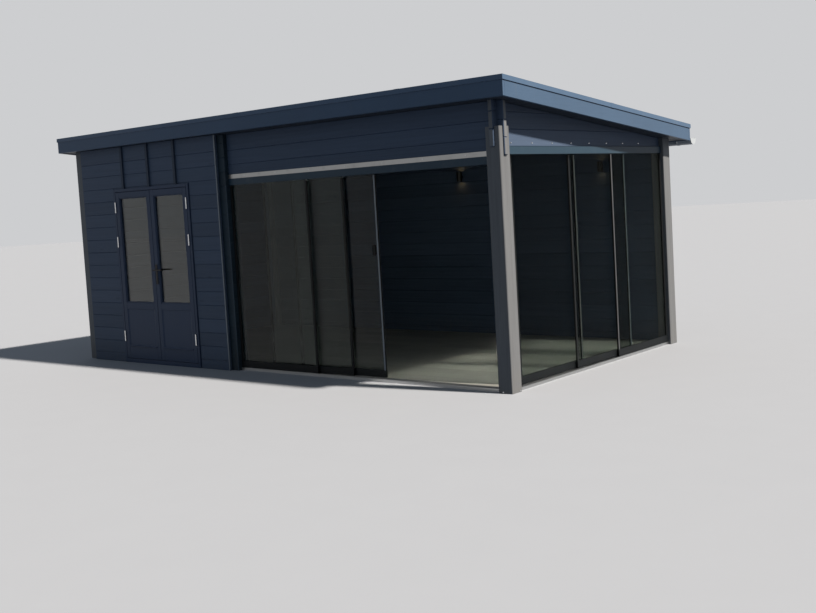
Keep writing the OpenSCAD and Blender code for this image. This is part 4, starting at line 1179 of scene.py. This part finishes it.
class GARDENPOD_OT_lamps(PieceOperator, bpy.types.Operator):
    """Finishes the two wall lamps and gives them opal lenses"""

    bl_idname = "garden_pod.lamps"
    bl_label = "Wall Lamps"

    def execute(self, context):
        dress("lamp", "wall_lamps")
        low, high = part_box("wall_lamps")
        radius, wall, inset, half = 0.031, 0.0045, 0.012, 0.002
        y = low.y + radius
        work = Joinery(111)
        for x in (low.x + radius, high.x - radius):
            for z in (low.z + inset, high.z - inset):
                work.rod((x, y, z - half), (x, y, z + half), radius - wall, 32, 0.0008)
        work.piece("lamp_lenses", "lamp_metal", "lens", smooth=True)
        return {"FINISHED"}


class GARDENPOD_OT_gutter(PieceOperator, bpy.types.Operator):
    """Finishes the gutter and downpipe and adds their joiners and collar"""

    bl_idname = "garden_pod.gutter"
    bl_label = "Gutter and Downpipe"

    def execute(self, context):
        dress("gutter", "gutter", "downpipe")
        radius, over, clear = 0.0625, 0.025, 0.008
        rim = fascia_top(fascia_high.y) - FASCIA_DEPTH + over
        y = fascia_high.y + clear + radius
        half, outer, inner = 0.03, radius + 0.0022, radius - 0.0005
        joiners = Joinery(121)
        for x in (-1.56, 1.56):
            joiners.ring((x - half, y - outer, rim), (x + half, y - inner, rim), (x, y, rim),
                         (-1, 0, 0), -math.pi * 0.985)
        joiners.piece("gutter_joiners", "gutter_metal", "gutter", smooth=True)
        low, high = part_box("downpipe")
        x, y, z = (low.x + high.x) / 2, posts_high.y + 0.06, 0.9
        inner, outer, tall = 0.039, 0.0425, 0.05
        collar = Joinery(122)
        collar.ring((x + inner, y, z), (x + outer, y, z + tall), (x, y, z), (0, 0, 1), steps=36)
        collar.piece("downpipe_collar", "gutter_metal", "gutter", smooth=True)
        return {"FINISHED"}


class GARDENPOD_OT_stage(PieceOperator, bpy.types.Operator):
    """Sets the floor, the soft light and the camera"""

    bl_idname = "garden_pod.stage"
    bl_label = "Stage"

    def execute(self, context):
        stage = context.scene.garden_pod_stage
        link = context.scene.collection.objects.link
        link(self.floor(stage))
        context.scene.world = self.sky(stage)
        link(self.sun(stage))
        context.scene.camera = self.camera(stage)
        link(context.scene.camera)
        context.scene.view_settings.view_transform = "Standard"
        return {"FINISHED"}

    def floor(self, stage):
        """A wide disc, which sends back a darker light than the colour it shows."""
        shape = bmesh.new()
        bmesh.ops.create_circle(shape, cap_ends=True, segments=96, radius=70.0)
        mesh = bpy.data.meshes.new("stage_floor")
        shape.to_mesh(mesh)
        shape.free()
        finish = Finish("stage_floor_paint")
        speckle = finish.noise(finish.place(), scale=3.0, detail=4.0)
        tone = finish.mix(finish.seen(), stage.bounce, stage.floor)
        mesh.materials.append(finish.surface(
            Base_Color=finish.shade(tone, 0.985 + 0.03 * speckle), Roughness=0.85, Specular_IOR_Level=0.2))
        ground = bpy.data.objects.new("stage_floor", mesh)
        return ground

    def sky(self, stage):
        """Soft blue light all round, with a pale backdrop where the camera sees it."""
        finish = Finish("soft_studio", "worlds")
        soft, plain = (
            finish.node("ShaderNodeBackground", None, {"Color": opaque(tone), "Strength": strength})
            for tone, strength in ((srgb(206, 230, 255), stage.sky), (stage.backdrop, 1.0)))
        return finish.show(finish.node("ShaderNodeMixShader", None, {0: finish.seen(), 1: soft, 2: plain}))

    def sun(self, stage):
        data = bpy.data.lights.new("key_light", "SUN")
        data.energy = stage.sun
        data.angle = math.radians(2.5)
        data.color = (1.0, 0.95, 0.87)
        lamp = bpy.data.objects.new("key_light", data)
        flat, turn = math.cos(stage.sun_height), stage.sun_turn
        towards = Vector((flat * math.cos(turn), flat * math.sin(turn), math.sin(stage.sun_height)))
        lamp.rotation_euler = towards.to_track_quat("Z", "Y").to_euler()
        return lamp

    def camera(self, stage):
        """The camera that was fitted to the photograph."""
        flat = math.cos(stage.pitch)
        ahead = Vector((math.sin(stage.yaw) * flat, math.cos(stage.yaw) * flat, -math.sin(stage.pitch)))
        level = Vector((math.cos(stage.yaw), -math.sin(stage.yaw), 0))
        over = level.cross(ahead)
        right = level * math.cos(stage.roll) + over * math.sin(stage.roll)
        up = over * math.cos(stage.roll) - level * math.sin(stage.roll)
        data = bpy.data.cameras.new("view_camera")
        data.sensor_fit = "HORIZONTAL"
        data.sensor_width = SENSOR_WIDTH
        data.lens = stage.focal_pixels / PICTURE_WIDTH * SENSOR_WIDTH
        data.clip_end = 200.0
        data.shift_x, data.shift_y = stage.shift
        camera = bpy.data.objects.new("view_camera", data)
        turn = Matrix((right, up, -ahead)).transposed().to_4x4()
        camera.matrix_world = Matrix.Translation(stage.camera_place) @ turn
        return camera


PIECE_OPERATORS = (
    GARDENPOD_OT_shed_front, GARDENPOD_OT_log_walls, GARDENPOD_OT_headers, GARDENPOD_OT_posts,
    GARDENPOD_OT_roof_edge, GARDENPOD_OT_roof_sheets, GARDENPOD_OT_soffit, GARDENPOD_OT_floor,
    GARDENPOD_OT_tracks, GARDENPOD_OT_glass_panels, GARDENPOD_OT_double_door,
    GARDENPOD_OT_door_fittings, GARDENPOD_OT_lamps, GARDENPOD_OT_gutter, GARDENPOD_OT_stage,
)

GROUPS = {
    "garden_pod_boards": GardenPodBoards,
    "garden_pod_fittings": GardenPodFittings,
    "garden_pod_colours": GardenPodColours,
    "garden_pod_stage": GardenPodStage,
}


class GARDENPOD_PT_sidebar(bpy.types.Panel):
    """Lists the sizes, the colours and the operators."""

    bl_label = "Garden Office Pod"
    bl_idname = "GARDENPOD_PT_sidebar"
    bl_space_type = "VIEW_3D"
    bl_region_type = "UI"
    bl_category = "Garden Pod"

    def draw(self, context):
        for group in GROUPS:
            settings = getattr(context.scene, group)
            box = self.layout.box()
            for key in settings.bl_rna.properties.keys():
                if key not in ("rna_type", "name"):
                    box.prop(settings, key)
        for operator in PIECE_OPERATORS:
            self.layout.operator(operator.bl_idname)


def register():
    for name, group in GROUPS.items():
        bpy.utils.register_class(group)
        setattr(bpy.types.Scene, name, bpy.props.PointerProperty(type=group))
    for shown in (*PIECE_OPERATORS, GARDENPOD_PT_sidebar):
        bpy.utils.register_class(shown)


def unregister():
    for shown in (GARDENPOD_PT_sidebar, *reversed(PIECE_OPERATORS)):
        bpy.utils.unregister_class(shown)
    for name, group in GROUPS.items():
        delattr(bpy.types.Scene, name)
        bpy.utils.unregister_class(group)


def main():
    """Builds every piece in order."""
    register()
    make_finishes()
    for operator in PIECE_OPERATORS:
        area, name = operator.bl_idname.split(".")
        getattr(getattr(bpy.ops, area), name)()


if __name__ == "__main__":
    main()
